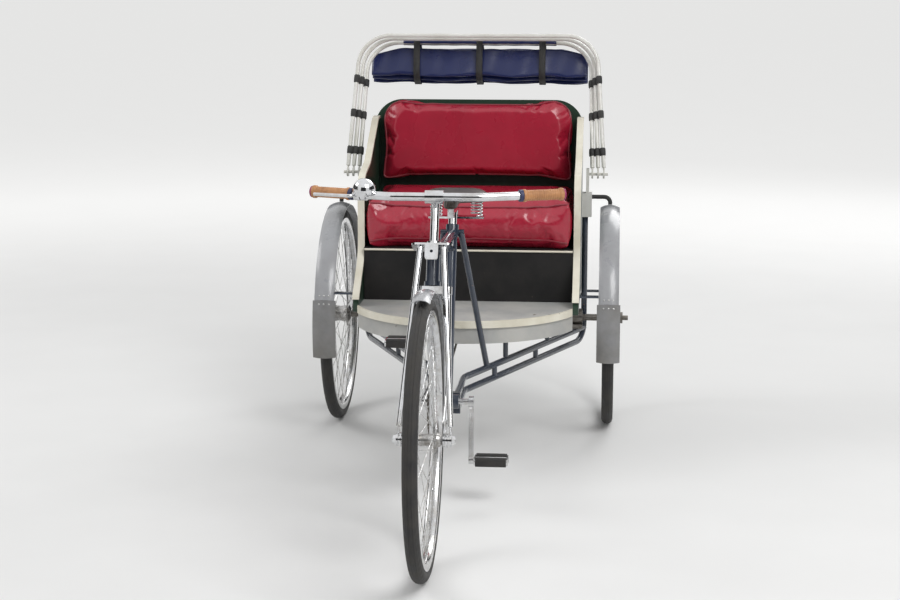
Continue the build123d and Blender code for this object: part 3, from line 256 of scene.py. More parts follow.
def paint(name, color, faded, bare, gloss, chips, dust, dust_top, coat, chip_scale=70.0, shine=0.5):
    """Brushed or sprayed paint: its colour drifts, it is chipped to what lies under it, and dust lies on it up to
    a height. The gloss is its roughness, and the coat is the weight of a clear layer."""
    material, tree, shader = new_finish(
        name, color, gloss, Coat_Weight=coat, Coat_Roughness=0.12, Specular_IOR_Level=shine
    )
    base = use_group(tree, drift_group, First=color, Second=faded, Scale=9.0)
    chipped = use_group(tree, chip_group, Color=base["Color"], Bare=bare, Amount=chips, Scale=chip_scale)
    dusty = use_group(tree, dust_group, Color=chipped["Color"], Amount=dust, Top=dust_top)
    rough = stretch(tree, dusty["Mask"], 0.0, 0.4, gloss, 0.7)
    rough = maths(tree, rough, maths(tree, chipped["Mask"], 0.35), "ADD")
    worn(tree, shader, dusty["Color"], rough, chipped["Height"], strength=0.35, distance=0.0004)
    return material


def dress(material, *names):
    """Gives CAD nodes their finish."""
    for name in names:
        for material_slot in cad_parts[name].material_slots:
            material_slot.material = material


rust = (0.16, 0.07, 0.035)
frame_paint = paint(
    "frame_paint", (0.018, 0.026, 0.045), (0.035, 0.047, 0.07), rust,
    gloss=0.16, chips=0.5, dust=0.06, dust_top=0.75, coat=0.5,
)
dress(frame_paint, "main_frame", "rail_left", "rail_right", "floor_bearers", "seat_stays", "mudguard_brackets")

# Footboard
# A plywood floor with a bent sheet skirt under its round front edge, painted light grey and scuffed by shoes.
# A cream moulding is nailed along the front edge.
floor_paint = paint(
    "floor_paint", (0.36, 0.37, 0.37), (0.47, 0.47, 0.45), (0.13, 0.11, 0.09),
    gloss=0.55, chips=0.6, dust=0.35, dust_top=0.9, coat=0.0, chip_scale=34.0,
)
cream_trim = paint(
    "cream_trim", (0.80, 0.77, 0.66), (0.66, 0.62, 0.50), (0.20, 0.15, 0.10),
    gloss=0.38, chips=0.45, dust=0.15, dust_top=0.9, coat=0.15, chip_scale=90.0,
)
dress(floor_paint, "footboard")
dress(cream_trim, "footboard_trim")

# Body panels
# Plywood sides and back, painted dark green. The sides' front and top edges carry a cream moulding.
# Domed screws hold each side to the seat board and, along its foot, to the floor.
sharp_angle = np.radians(38)


def points(*axes):
    """Points from their coordinates: an array for each, or one number for all."""
    return np.stack(np.broadcast_arrays(*axes), axis=-1)


def circle(angle):
    """Points at these angles round a circle of radius 1."""
    return points(np.cos(angle), np.sin(angle))


def all_round(steps):
    """Even angles all the way round."""
    return np.linspace(0, 2 * np.pi, steps, endpoint=False)


def unit(vectors):
    """Vectors made 1 long."""
    return vectors / np.linalg.norm(vectors, axis=-1, keepdims=True)


def shaded(mesh, work):
    """Fills a mesh from its work copy and shades it smooth between its sharp edges."""
    work.to_mesh(mesh)
    work.free()
    mesh.shade_smooth()
    mesh.set_sharp_from_angle(angle=sharp_angle)
    return mesh


def mesh_of(name, corners, *face_sets):
    """A mesh from an array of points and arrays of faces, with its doubles merged and its faces outwards."""
    mesh = bpy.data.meshes.new(name)
    mesh.from_pydata(corners.tolist(), [], [face for face_set in face_sets for face in face_set.tolist()])
    work = bmesh.new()
    work.from_mesh(mesh)
    bmesh.ops.remove_doubles(work, verts=work.verts, dist=1e-6)
    bmesh.ops.recalc_face_normals(work, faces=work.faces)
    return shaded(mesh, work)


def surface(name, grid, wrap_rows=False, wrap_columns=False):
    """A mesh of quads over a grid of points, rows by columns by 3. Rows or columns may close into a ring.
    Points that share a place are merged, so a ring drawn into one point becomes a closed pole."""
    rows, columns = grid.shape[:2]
    index = np.arange(rows * columns).reshape(rows, columns)
    if wrap_rows:
        index = np.vstack([index, index[:1]])
    if wrap_columns:
        index = np.hstack([index, index[:, :1]])
    quads = np.stack([index[:-1, :-1], index[1:, :-1], index[1:, 1:], index[:-1, 1:]], axis=-1)
    return mesh_of(name, grid.reshape(-1, 3), quads.reshape(-1, 4))


def joined_mesh(name, *meshes):
    """One mesh from several."""
    work = bmesh.new()
    for mesh in meshes:
        work.from_mesh(mesh)
        bpy.data.meshes.remove(mesh)
    return shaded(bpy.data.meshes.new(name), work)


def fitted(piece, body, slot, material, *nodes):
    """Gives a piece its material and the body it rides on, and hides the CAD nodes that it stands for. The slot is
    not used.
    """
    piece.data.materials.clear()
    piece.data.materials.append(material)
    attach(piece, body)
    if nodes:
        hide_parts(*nodes)
    return piece


def new_piece(mesh, body, slot, material, *nodes):
    """A fitted piece for a mesh, with the mesh's name."""
    return fitted(placed(mesh.name, mesh), body, slot, material, *nodes)


def turned(name, middle, axis, profile, steps, ring=True):
    """A mesh of a profile of (radius, height) pairs turned about an axis through a middle point. The profile
    closes into a ring or, if it isn't one, runs from axis to axis."""
    axis = unit(np.asarray(axis, float))
    across = unit(np.cross([0, 0, 1] if abs(axis[1]) > 0.9 else [0, 1, 0], axis))
    other = np.cross(axis, across)
    around = all_round(steps)[:, None, None]
    radius, height = np.asarray(profile, float).T[:, None, :, None]
    way = np.cos(around) * across + np.sin(around) * other
    return surface(name, np.asarray(middle, float) + radius * way + height * axis, True, ring)


def domes(name, places, way, radius, rise):
    """Screw or rivet heads in one mesh: at each place a dome, a quarter of an ellipse turned about the way it
    faces, which is one vector or one for each place."""
    profile = circle(np.linspace(0, np.pi / 2, 5)) * [radius, rise]
    profile = np.vstack([[0, -rise / 2], [radius, -rise / 2], profile])
    ways = np.broadcast_to(way, (len(places), 3))
    return joined_mesh(
        name, *(turned(name, place, facing, profile, 10, False) for place, facing in zip(places, ways))
    )


body_paint = paint(
    "body_paint", (0.018, 0.045, 0.028), (0.024, 0.052, 0.034), (0.14, 0.10, 0.065),
    gloss=0.3, chips=0.5, dust=0.03, dust_top=0.8, coat=0.12, shine=0.3,
)
dress(body_paint, "side_panel_left", "side_panel_right", "back_panel")
dress(cream_trim, "side_trim")
screw_steel, tree, shader = new_finish("screw_steel", (0.5, 0.5, 0.49), 0.35, Metallic=1.0)
feed(tree, shader, {"Roughness": stretch(tree, noise(tree, scale=300.0), 0.3, 0.7, 0.25, 0.6)})
hands = ((1, "left"), (-1, "right"))
panel_low, panel_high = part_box("side_panel_left")
board_low, board_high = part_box("seat_box")
screw_radius, screw_rise, screws_per_row = 0.0045, 0.0018, 5
screw_x = np.linspace(board_low.x + 0.05, board_high.x - 0.03, screws_per_row)
screw_z = (board_high.z - 0.008, panel_low.z + 0.014)
for side, mark in hands:
    places = [(x, side * panel_high.y, z) for z in screw_z for x in screw_x]
    screws = domes(f"panel_screws_{mark}", places, (0, side, 0), screw_radius, screw_rise)
    new_piece(screws, "chassis", "cast_metal", screw_steel)

# Seat box
# A riser board and a seat board, painted black. A cream bead closes the joint under the cushion.
seat_base = paint(
    "seat_base", (0.009, 0.009, 0.010), (0.018, 0.017, 0.017), (0.08, 0.065, 0.05),
    gloss=0.5, chips=0.45, dust=0.03, dust_top=0.9, coat=0.0, shine=0.25,
)
dress(seat_base, "seat_box")


def closed(name, rings):
    """A mesh over rings of points, closed by a point at each end."""
    first, last = rings[:1].mean(1, keepdims=True), rings[-1:].mean(1, keepdims=True)
    ends = [np.broadcast_to(end, rings[:1].shape) for end in (first, last)]
    return surface(name, np.vstack([ends[0], rings, ends[1]]), False, True)


def tube(name, path, radius, sides, up):
    """A mesh of a round bar along a path of points: at each point a circle of the radius, square to the path.
    Its first direction is square to the path and to up, which is one vector or one for each point."""
    way = unit(np.gradient(path, axis=0))
    first = unit(np.cross(way, up))
    second = np.cross(way, first)
    angle = all_round(sides)[None, :, None]
    return closed(name, path[:, None] + radius * (np.cos(angle) * first[:, None] + np.sin(angle) * second[:, None]))


bead_radius, bead_drop, bead_gap = 0.0035, 0.005, 0.002
bead_y = np.linspace(-board_high.y + bead_gap, board_high.y - bead_gap, 40)
bead_line = points(board_high.x + bead_radius * 0.6, bead_y, board_high.z - bead_drop)
new_piece(tube("seat_bead", bead_line, bead_radius, 10, (1, 0, 0)), "chassis", "cream_trim", cream_trim)

# Seat cushion and back rest
# Sewn covers of glossy red vinyl over foam. The cushion's front runs down over the seat board. A welt in the
# same vinyl is sewn into the seams round the front of each.
vinyl_group, given, wanted = new_group("vinyl_grain", ("Height", "Mask"), Scale=900.0, Creases=0.5)
cells = node(vinyl_group, "TexVoronoi", {"Vector": object_place(vinyl_group), "Scale": given["Scale"]})
soft = noise(vinyl_group, scale=11.0, detail=3.0, rough=0.5, distortion=0.4)
creases = stretch(vinyl_group, soft, 0.3, 0.7)
pebbles, folded = maths(vinyl_group, cells.outputs["Distance"], 0.08), maths(vinyl_group, creases, given["Creases"])
feed(vinyl_group, wanted, {"Height": maths(vinyl_group, pebbles, folded, "ADD"), "Mask": creases})


def vinyl(name, color, faded, gloss, creases, coat, dust, shine=0.5):
    """Coated cloth: a fine pebbled grain, soft creases, a colour that drifts, and a little dust."""
    material, tree, shader = new_finish(
        name, color, gloss, Coat_Weight=coat, Coat_Roughness=0.18, Specular_IOR_Level=shine
    )
    grain = use_group(tree, vinyl_group, Creases=creases)
    base = use_group(tree, drift_group, First=color, Second=faded, Scale=7.0)
    dusty = use_group(tree, dust_group, Color=base["Color"], Amount=dust, Top=1.4)
    rough = stretch(tree, grain["Mask"], 0.0, 1.0, gloss, gloss + 0.07)
    worn(tree, shader, dusty["Color"], rough, grain["Height"], strength=0.3, distance=0.0012)
    return material


seat_vinyl = vinyl(
    "seat_vinyl", (0.40, 0.011, 0.036), (0.34, 0.010, 0.031), gloss=0.24, creases=0.6, coat=0.35, dust=0.015
)
welt_vinyl = vinyl(
    "welt_vinyl", (0.27, 0.01, 0.03), (0.20, 0.01, 0.025), gloss=0.34, creases=0.3, coat=0.3, dust=0.15
)
pad_voxel, pad_start, pad_cap, pad_clearance = 0.0065, 0.006, 0.024, 0.0015
pad_frames, pad_pressure = 20, 4.0


def apply_modifiers(piece):
    """Makes what a piece's modifiers give its mesh, and empties their list."""
    seen = piece.evaluated_get(bpy.context.evaluated_depsgraph_get())
    piece.data = bpy.data.meshes.new_from_object(seen)
    piece.modifiers.clear()


def mesh_points(mesh):
    """A mesh's points as an array."""
    flat = np.zeros(len(mesh.vertices) * 3)
    mesh.vertices.foreach_get("co", flat)
    return flat.reshape(-1, 3)


def set_points(mesh, places):
    """Moves a mesh's points to the places in an array."""
    mesh.vertices.foreach_set("co", places.astype(np.float32).ravel())
    mesh.update()


def pad_shell(name):
    """A pad's CAD form merged into one skin of even small faces, drawn in a little so that it can swell."""
    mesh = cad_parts[name].data.copy()
    work = bmesh.new()
    work.from_mesh(mesh)
    bmesh.ops.remove_doubles(work, verts=work.verts, dist=1e-5)
    work.to_mesh(mesh)
    work.free()
    shell = placed(name + "_cover", mesh)
    remesh = shell.modifiers.new("remesh", "REMESH")
    remesh.mode, remesh.voxel_size = "VOXEL", pad_voxel
    apply_modifiers(shell)
    skin = mesh_points(shell.data)
    low, high = skin.min(0), skin.max(0)
    middle, half = (low + high) / 2, (high - low) / 2
    set_points(shell.data, middle + (skin - middle) * (half - pad_start) / half)
    return shell


def inflate(shells):
    """Blows up the covers together: cloth under inside pressure, stepped until it has settled."""
    for shell in shells:
        cloth = shell.modifiers.new("cloth", "CLOTH").settings
        cloth.use_pressure = True
        cloth.uniform_pressure_force = pad_pressure
        cloth.effector_weights.gravity = 0
        cloth.quality = 5
    for step in range(1, pad_frames + 1):
        bpy.context.scene.frame_set(step)


cushion, back_rest = pad_shell("seat_cushion"), pad_shell("seat_back")
# Columns: cover, CAD node, share of its inside that is foam
pads = ((cushion, "seat_cushion", 0.8), (back_rest, "seat_back", 0.7))
starts = [mesh_points(pad.data) for pad, name, fill in pads]
inflate([pad for pad, name, fill in pads])
back_slope = np.tan(np.radians(5.5))
back_foot = Vector((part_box("back_panel")[1].x, 0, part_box("back_panel")[0].z))
crown_rise, crown_start, crown_length = 0.013, 0.05, 0.10
for (pad, name, fill), start in zip(pads, starts):
    apply_modifiers(pad)
    move = mesh_points(pad.data) - start
    length = np.maximum(np.linalg.norm(move, axis=1, keepdims=True), 1e-9)
    x, y, z = (start + move * np.minimum(1, pad_cap / length)).T
    low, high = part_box(name)
    y = np.clip(y, low.y + pad_clearance, high.y - pad_clearance)
    z = np.maximum(z, low.z)
    if name == "seat_cushion":
        # The crown ends where the back rest stands over it
        crown = np.clip((x - low.x - crown_start) / crown_length, 0, 1)
        z = np.minimum(z, high.z + crown_rise * crown**2 * (3 - 2 * crown))
        x = np.clip(x, low.x, high.x + crown_rise)
    else:
        # The rear lies flat on the leaning back panel
        x = np.maximum(x, back_foot.x - (z - back_foot.z) * back_slope + pad_clearance)
    set_points(pad.data, points(x, y, z))
    smooth = pad.modifiers.new("finer", "SUBSURF")
    smooth.levels = smooth.render_levels = 1
    apply_modifiers(pad)
    pad.data.shade_smooth()
    fitted(pad, "chassis", "seat_vinyl", seat_vinyl, name)
bpy.context.scene.frame_set(1)


def resampled(line, count=None, spacing=0.008):
    """Points evenly spaced along a line of points. Their count is given for a closed line, or else a spacing."""
    along = np.append(0, np.cumsum(np.linalg.norm(np.diff(line, axis=0), axis=1)))
    steps = count or int(along[-1] / spacing) + 2
    places = np.linspace(0, along[-1], steps, endpoint=not count)
    return points(*(np.interp(places, along, axis) for axis in line.T))


def rounded_path(corners, radii, steps=9, spacing=0.008):
    """Points along straight runs joined by arcs. Each arc is a quadratic Bezier curve from one run to the next,
    and every run is filled with points at about the same spacing."""
    corners = [np.asarray(corner, float) for corner in corners]
    line = [corners[0]]
    bend = np.linspace(0, 1, steps)[:, None]
    for before, corner, after, radius in zip(corners, corners[1:-1], corners[2:], radii):
        enter = corner + radius * unit(before - corner)
        leave = corner + radius * unit(after - corner)
        line.extend((1 - bend) ** 2 * enter + 2 * bend * (1 - bend) * corner + bend**2 * leave)
    return resampled(np.array([*line, corners[-1]]), spacing=spacing)


def on_surface(piece, path, lift):
    """A path laid on a piece: each point goes to the nearest place of its skin, then the path is averaged over
    its neighbours and lifted out by the skin's own direction."""
    found = [piece.closest_point_on_mesh(Vector(point)) for point in path]
    places = np.array([place + normal * lift for _, place, normal, _ in found])
    padded_ends = np.vstack([places[:1], places[:1], places, places[-1:], places[-1:]])
    return sum(padded_ends[step : step + len(places)] for step in range(5)) / 5


welt_radius = 0.0032
low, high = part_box("seat_cushion")
edge_y, top_z = high.y - 0.004, high.z - 0.005
rear_x, front_x = low.x + 0.05, high.x - 0.006
cushion_top_line = [(rear_x, -edge_y, top_z), (front_x, -edge_y, top_z)]
cushion_top_line += [(front_x, edge_y, top_z), (rear_x, edge_y, top_z)]
cushion_low_line = [(front_x, side * (edge_y - 0.004), low.z + 0.02) for side in (-1, 1)]
rest_low, rest_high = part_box("seat_back")
rest_side, rest_top, rest_foot = rest_high.y - 0.006, rest_high.z - 0.012, rest_low.z + 0.01
rest_places = [(0, rest_foot), (-rest_side, rest_foot), (-rest_side, rest_top)]
rest_places += [(rest_side, rest_top), (rest_side, rest_foot), (0, rest_foot)]
# The back rest's front face leans back with the panel
rest_line = [(rest_high.x - (z - rest_low.z) * back_slope, y, z) for y, z in rest_places]
# Columns: piece, cover it is sewn to, corners, how far from each inner corner the bend starts
welts = (
    ("cushion_top_welt", cushion, cushion_top_line, (0.03, 0.03)),
    ("cushion_low_welt", cushion, cushion_low_line, ()),
    ("back_rest_welt", back_rest, rest_line, (0.02, 0.08, 0.08, 0.02)),
)
# A direction that none of the welts' runs has
skew = (0.31, 0.17, 0.93)
for name, pad, corners, radii in welts:
    line = on_surface(pad, rounded_path(corners, radii), welt_radius * 0.35)
    new_piece(tube(name, line, welt_radius, 8, skew), "chassis", "seat_vinyl", welt_vinyl)


# Rear mudguards
# Rolled steel strips with a crowned section, painted silver grey as the front one is, with a grey flap riveted
# to each front end. A bent arm in a black sleeve, two flat brackets and a thin stay hold each one.
def rubber(name, color, faded, scale, smooth=0.6, rough=0.9, grain=900.0, strength=0.25, depth=0.0004):
    """Rubber or webbing with a fine grain, gone grey with dust or dark with hands. Its roughness runs from
    smooth to rough."""
    material, tree, shader = new_finish(name, color, rough)
    base = use_group(tree, drift_group, First=color, Second=faded, Scale=scale)
    gloss = stretch(tree, base["Mask"], 0.0, 1.0, smooth, rough)
    worn(tree, shader, base["Color"], gloss, noise(tree, grain, detail=3.0), strength, depth)
    return material


def middle_of(name):
    """The middle of a CAD node's box."""
    low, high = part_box(name)
    return (low + high) / 2


mudguard_paint = paint(
    "mudguard_paint", (0.34, 0.35, 0.37), (0.28, 0.285, 0.30), rust,
    gloss=0.24, chips=0.42, dust=0.2, dust_top=0.8, coat=0.4,
)
flap_paint = paint(
    "flap_paint", (0.22, 0.225, 0.235), (0.15, 0.15, 0.15), (0.05, 0.05, 0.05),
    gloss=0.5, chips=0.5, dust=0.4, dust_top=0.6, coat=0.05,
)
black_sleeve = rubber("black_sleeve", (0.014, 0.014, 0.015), (0.05, 0.05, 0.048), 30.0)
dress(mudguard_paint, "mudguard_left", "mudguard_right", "front_mudguard")
dress(flap_paint, "mudguard_flaps")
dress(black_sleeve, "mudguard_arms")
# Two rows of rivets, one on each side of the seam between mudguard and flap, whose angle is in degrees
guard_radius, guard_seam, rivet_angle = 0.40, 17.0, 2.0
rivet_radius, rivet_rise, rivet_across = 0.0032, 0.0016, (-0.022, 0.0, 0.022)
for side, mark in hands:
    heads = []
    for turn, carrier in ((-rivet_angle, "mudguard_flaps"), (rivet_angle, f"mudguard_{mark}")):
        angle = np.radians(guard_seam + turn)
        for across in rivet_across:
            away = Vector((guard_radius * np.cos(angle), across, guard_radius * np.sin(angle)))
            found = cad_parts[carrier].closest_point_on_mesh(middle_of(f"{mark}_tyre") + away)
            heads.append(found[1:3])
    places, ways = np.array(heads).transpose(1, 0, 2)
    rivets = domes(f"flap_rivets_{mark}", places, ways, rivet_radius, rivet_rise)
    new_piece(rivets, "chassis", "cast_metal", screw_steel)

# A thin stay runs from each rear bracket forward to the post
stay_radius, stay_y, stay_z = 0.004, 0.3685, 0.381
stay_x = np.linspace(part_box("mudguard_brackets")[0].x + 0.010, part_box("rail_left")[0].x + 0.006, 12)
stays = [tube("stay", points(stay_x, side * stay_y, stay_z), stay_radius, 12, (0, 0, 1)) for side in (1, -1)]
new_piece(joined_mesh("mudguard_rear_stays", *stays), "chassis", "frame_paint", frame_paint)

# Hood bows
# Three steel tubes bent to an upside-down U, painted white, on one pin each side. The pins stand on white
# blocks on the body's posts. Black rubber sleeves on the legs keep the folded bows apart.
bow_paint = paint(
    "bow_paint", (0.74, 0.74, 0.71), (0.60, 0.59, 0.54), rust,
    gloss=0.28, chips=0.45, dust=0.08, dust_top=1.4, coat=0.3, chip_scale=110.0,
)
dress(bow_paint, "hood_rear_bow", "hood_middle_bow", "hood_front_bow", "hood_pivots")
hood_pivot = Vector((-0.870, 0, 0.832))
bow_tube = 0.007
# Columns: bow, body, half width at the pin, half width at the top, lean in degrees
bows = (
    ("rear", "chassis", 0.392, 0.380, 26.0),
    ("middle", "hood_middle", 0.411, 0.390, 21.5),
    ("front", "hood_front", 0.430, 0.400, 17.0),
)
bow_reach = (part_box("hood_front_bow")[1].z - bow_tube - hood_pivot.z) / np.cos(np.radians(bows[-1][-1]))


def leaning(degrees):
    """The direction up along a bow's leg that leans back."""
    return np.array([-np.sin(np.radians(degrees)), 0, np.cos(np.radians(degrees))])


def mirrored(half, *middle):
    """A profile from its first half, its middle and the half's mirror image."""
    return [*half, *middle, *((radius, -height) for radius, height in reversed(half))]


sleeve_spots, sleeve_half = (0.16, 0.43, 0.68), 0.013
sleeve_end = [(bow_tube - 0.001, -sleeve_half), (bow_tube + 0.0018, -sleeve_half)]
sleeve_end.append((bow_tube + 0.0030, 0.002 - sleeve_half))
sleeve_profile = mirrored(sleeve_end, (bow_tube + 0.0034, 0))
for name, body, foot_y, top_y, lean in bows:
    foot = np.array([hood_pivot.x, foot_y, hood_pivot.z])
    leg = bow_reach * leaning(lean) + [0, top_y - foot_y, 0]
    sleeves = [
        turned("sleeve", (foot + spot * leg) * [1, side, 1], leg * [1, side, 1], sleeve_profile, 20)
        for side in (1, -1)
        for spot in sleeve_spots
    ]
    new_piece(joined_mesh(f"{name}_bow_sleeves", *sleeves), body, "black_sleeve", black_sleeve)

# Canopy
# One sheet of navy coated cloth, hemmed round the rear bow and folded to and fro into a bundle behind it.
# Three black webbing straps tie the bundle to the bow.
canopy_vinyl = vinyl(
    "canopy_vinyl", (0.008, 0.015, 0.080), (0.009, 0.016, 0.075),
    gloss=0.26, creases=1.0, coat=0.2, dust=0.01, shine=0.35,
)
strap_webbing = rubber("strap_webbing", (0.012, 0.012, 0.013), (0.04, 0.04, 0.038), 60.0)
canopy_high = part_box("canopy")[1]
canopy_half = canopy_high.y - 0.004
bundle_depth, bundle_height = 0.112, 0.128
bundle_up = leaning(bows[0][-1])
bundle_back = np.array([-bundle_up[2], 0, bundle_up[0]])
bundle_middle = np.array(middle_of("canopy")) * [1, 0, 1]
rear_bow_top = np.array([hood_pivot.x, 0, hood_pivot.z]) + bundle_up * bow_reach
layers, layer_steps, width_steps = 7, 34, 91
fold_flatness, box_power = 2.4, 3.2
fold_reach, fold_change, end_taper, end_drop, low_sag = 0.93, 0.022, 0.30, 0.010, 0.007
drift_rates, taper_start, taper_length, drop_start = (0.8, 1.7, 2.9, 4.6), 0.72, 0.28, 0.75
front_margin, edge_margin = 0.007, 0.006
long_ripple, short_ripple = 0.0022, 0.0012
cloth_thickness, webbing_thickness = 0.0012, 0.0014
fold_random = np.random.default_rng(7)


def in_bundle(y, back, up):
    """A place from its Y and its distances back and up from the bundle's middle."""
    return bundle_middle + points(0, y, 0) + back[..., None] * bundle_back + up[..., None] * bundle_up


def canopy_grid():
    """The folded sheet. Along its length a wave runs up and down in the bundle: its height is a flattened
    cosine whose reach follows a rounded box, and it moves back evenly from layer to layer. Across the bundle
    each fold's reach and place drift by slow sines, the ends taper, and the lower folds sag between straps."""
    turns = np.linspace(0, layers, layers * layer_steps + 1)[:, None]
    across = np.linspace(-1, 1, width_steps)[None, :]
    wave = np.tanh(fold_flatness * np.cos(np.pi * turns)) / np.tanh(fold_flatness)
    depth = (turns / layers - 0.5) * (bundle_depth - 2 * front_margin)
    box = (1 - np.abs(depth / (bundle_depth / 2)) ** box_power) ** (1 / box_power)
    phase = fold_random.uniform(0, 2 * np.pi, (4, layers + 1))
    fold = np.clip(np.round(turns).astype(int), 0, layers)
    drift = sum(np.sin(across * np.pi * rate + shift[fold]) for rate, shift in zip(drift_rates, phase))
    taper = 1 - end_taper * np.clip((np.abs(across) - taper_start) / taper_length, 0, 1) ** 1.6
    reach = (bundle_height / 2 - edge_margin) * box * (fold_reach + fold_change * drift) * taper
    height = wave * reach
    sag = low_sag * np.abs(np.sin(across * np.pi * 1.5)) ** 1.5 * np.clip(0.5 - height / bundle_height, 0, 1)
    height = height - sag - end_drop * np.clip(np.abs(across) - drop_start, 0, 1) / (1 - drop_start)
    depth = depth + long_ripple * np.sin(across * 9 + 2.1 * turns + phase[0][fold]) * np.abs(wave)
    depth = depth + short_ripple * np.sin(across * 31 + 5.0 * turns) * np.sin(turns * 2.3 + across * 7)
    return in_bundle(canopy_half * across, depth, height)


def thickened(piece, thickness):
    """Gives a sheet its thickness, half of it to each side."""
    solid = piece.modifiers.new("thickness", "SOLIDIFY")
    solid.thickness, solid.offset = thickness, 0


sheet_grid = canopy_grid()
canopy = new_piece(surface("canopy_cloth", sheet_grid), "chassis", "canopy_vinyl", canopy_vinyl, "canopy")
thickened(canopy, cloth_thickness)

# The hem goes round the bow and down to the bundle's front edge
hem_radius, hem_half, hem_ripple = bow_tube + 0.0016, 0.262, 0.0004
hem_angle = np.linspace(-0.55 * np.pi, 1.25 * np.pi, 26)[:, None, None]
hem_y = np.linspace(-hem_half, hem_half, 60)
hem_ring = rear_bow_top + hem_radius * (np.cos(hem_angle) * bundle_back + np.sin(hem_angle) * bundle_up)
hem_grid = hem_ring + points(0, hem_y, 0) + hem_ripple * np.sin(hem_y * 90)[:, None] * bundle_up
hem = new_piece(surface("canopy_hem", hem_grid), "chassis", "canopy_vinyl", canopy_vinyl)
thickened(hem, cloth_thickness)

strap_places, strap_width = (-0.215, 0.0, 0.215), 0.022
strap_lift, strap_round, depth_margin, height_margin, bow_gap = 0.0022, 0.040, 0.006, 0.004, 0.003


def strap_loop(y):
    """A band round the bundle and the bow: for each direction, the farther of the rounded box's edge and the
    bow's. The box's edge is its core corner plus its corner radius in that direction."""
    way = circle(all_round(96))
    core = np.array([bundle_depth / 2 - depth_margin, bundle_height / 2 - height_margin]) - strap_round
    box = np.sign(way) * core + way * (strap_round + strap_lift)
    bow_offset = rear_bow_top - bundle_middle
    bow = [bow_offset @ bundle_back, bow_offset @ bundle_up] + way * (bow_tube + bow_gap + strap_lift)
    line = np.where(((box * way).sum(1) > (bow * way).sum(1))[:, None], box, bow)
    back, up = line.T[:, :, None]
    return in_bundle(y + np.linspace(-strap_width / 2, strap_width / 2, 3), back, up)


straps = joined_mesh("canopy_straps", *(surface("strap", strap_loop(place), True) for place in strap_places))
strap_piece = new_piece(straps, "chassis", "canopy_vinyl", strap_webbing)
thickened(strap_piece, webbing_thickness)

# Tyres
# Moulded black rubber on a fabric casing, 28 inches across, held in the rim by its beads.
# The tread has grooves round it and short cuts at its shoulders, and road dust has turned it grey.
tyre_rubber = rubber("tyre_rubber", (0.014, 0.014, 0.015), (0.048, 0.045, 0.041), 22.0)
tread_steps, tread_cuts = 432, 72
section_radius, neck_half, tyre_bead = 0.0187, 0.0145, 0.3203
groove_places = (-0.0105, -0.0045, 0.0045, 0.0105)
groove_width, groove_depth = 0.0008, 0.0012
shoulder_place, shoulder_width, cut_depth = 0.0165, 0.0035, 0.001
wheels = (("front", "front_wheel"), ("right", "drive_axle"), ("left", "left_wheel"))


def tyre_points(low, high):
    """A circle of the section radius swept round the axle. Grooves lower it by bell curves of the distance
    across the tread, and shoulder cuts by a clipped cosine of the angle round the wheel."""
    middle = (low + high) / 2
    outer = (high.x - low.x) / 2
    reach = np.pi - np.arcsin(neck_half / section_radius)
    around = all_round(tread_steps)[:, None]
    across = np.linspace(-reach, reach, 61)[None, :]
    place = across * section_radius
    grooves = sum(np.exp(-(((place - groove) / groove_width) ** 2)) for groove in groove_places)
    shoulder = np.exp(-(((np.abs(place) - shoulder_place) / shoulder_width) ** 4))
    cuts = np.clip(1.6 * np.cos(around * tread_cuts), 0, 1) * shoulder
    radius = section_radius - groove_depth * grooves - cut_depth * cuts
    bead = np.full((tread_steps, 1), tyre_bead)
    ring = np.hstack([bead, outer - section_radius + radius * np.cos(across), bead])
    side = np.hstack([0 * bead - neck_half, radius * np.sin(across), 0 * bead + neck_half])
    return points(middle.x + ring * np.cos(around), middle.y + side, middle.z + ring * np.sin(around))


for side, body in wheels:
    tyre = surface(f"{side}_tyre_tread", tyre_points(*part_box(f"{side}_tyre")), True, True)
    new_piece(tyre, body, "tyre_rubber", tyre_rubber, f"{side}_tyre")

# Rims
# Rolled steel channels with rounded lips and a rounded well, chromed, dulled by dust and brake marks.
haze_group, given, wanted = new_group(
    "metal_haze", ("Roughness", "Mask", "Height"), Bright=0.08, Dull=0.35, Scale=30.0
)
mask = stretch(haze_group, noise(haze_group, given["Scale"], detail=7.0, rough=0.68), 0.42, 0.72)
rough = stretch(haze_group, mask, 0.0, 1.0, given["Bright"], given["Dull"])
pits = noise(haze_group, scale=420.0, detail=2.0)
feed(haze_group, wanted, {"Roughness": rough, "Mask": mask, "Height": pits})


def bright_metal(name, color, dull_color, bright, dull, scale, dust=0.2, dust_top=0.5):
    """Plated or bare metal with hazy patches, fine pits, and dust near the road. Bright and dull are the
    roughness outside and inside the patches."""
    material, tree, shader = new_finish(name, color, bright, Metallic=1.0)
    haze = use_group(tree, haze_group, Bright=bright, Dull=dull, Scale=scale)
    tint = blended(tree, haze["Mask"], color, dull_color)
    dusty = use_group(tree, dust_group, Color=tint, Amount=dust, Top=dust_top)
    worn(tree, shader, dusty["Color"], haze["Roughness"], haze["Height"], strength=0.08, distance=0.0003)
    return material


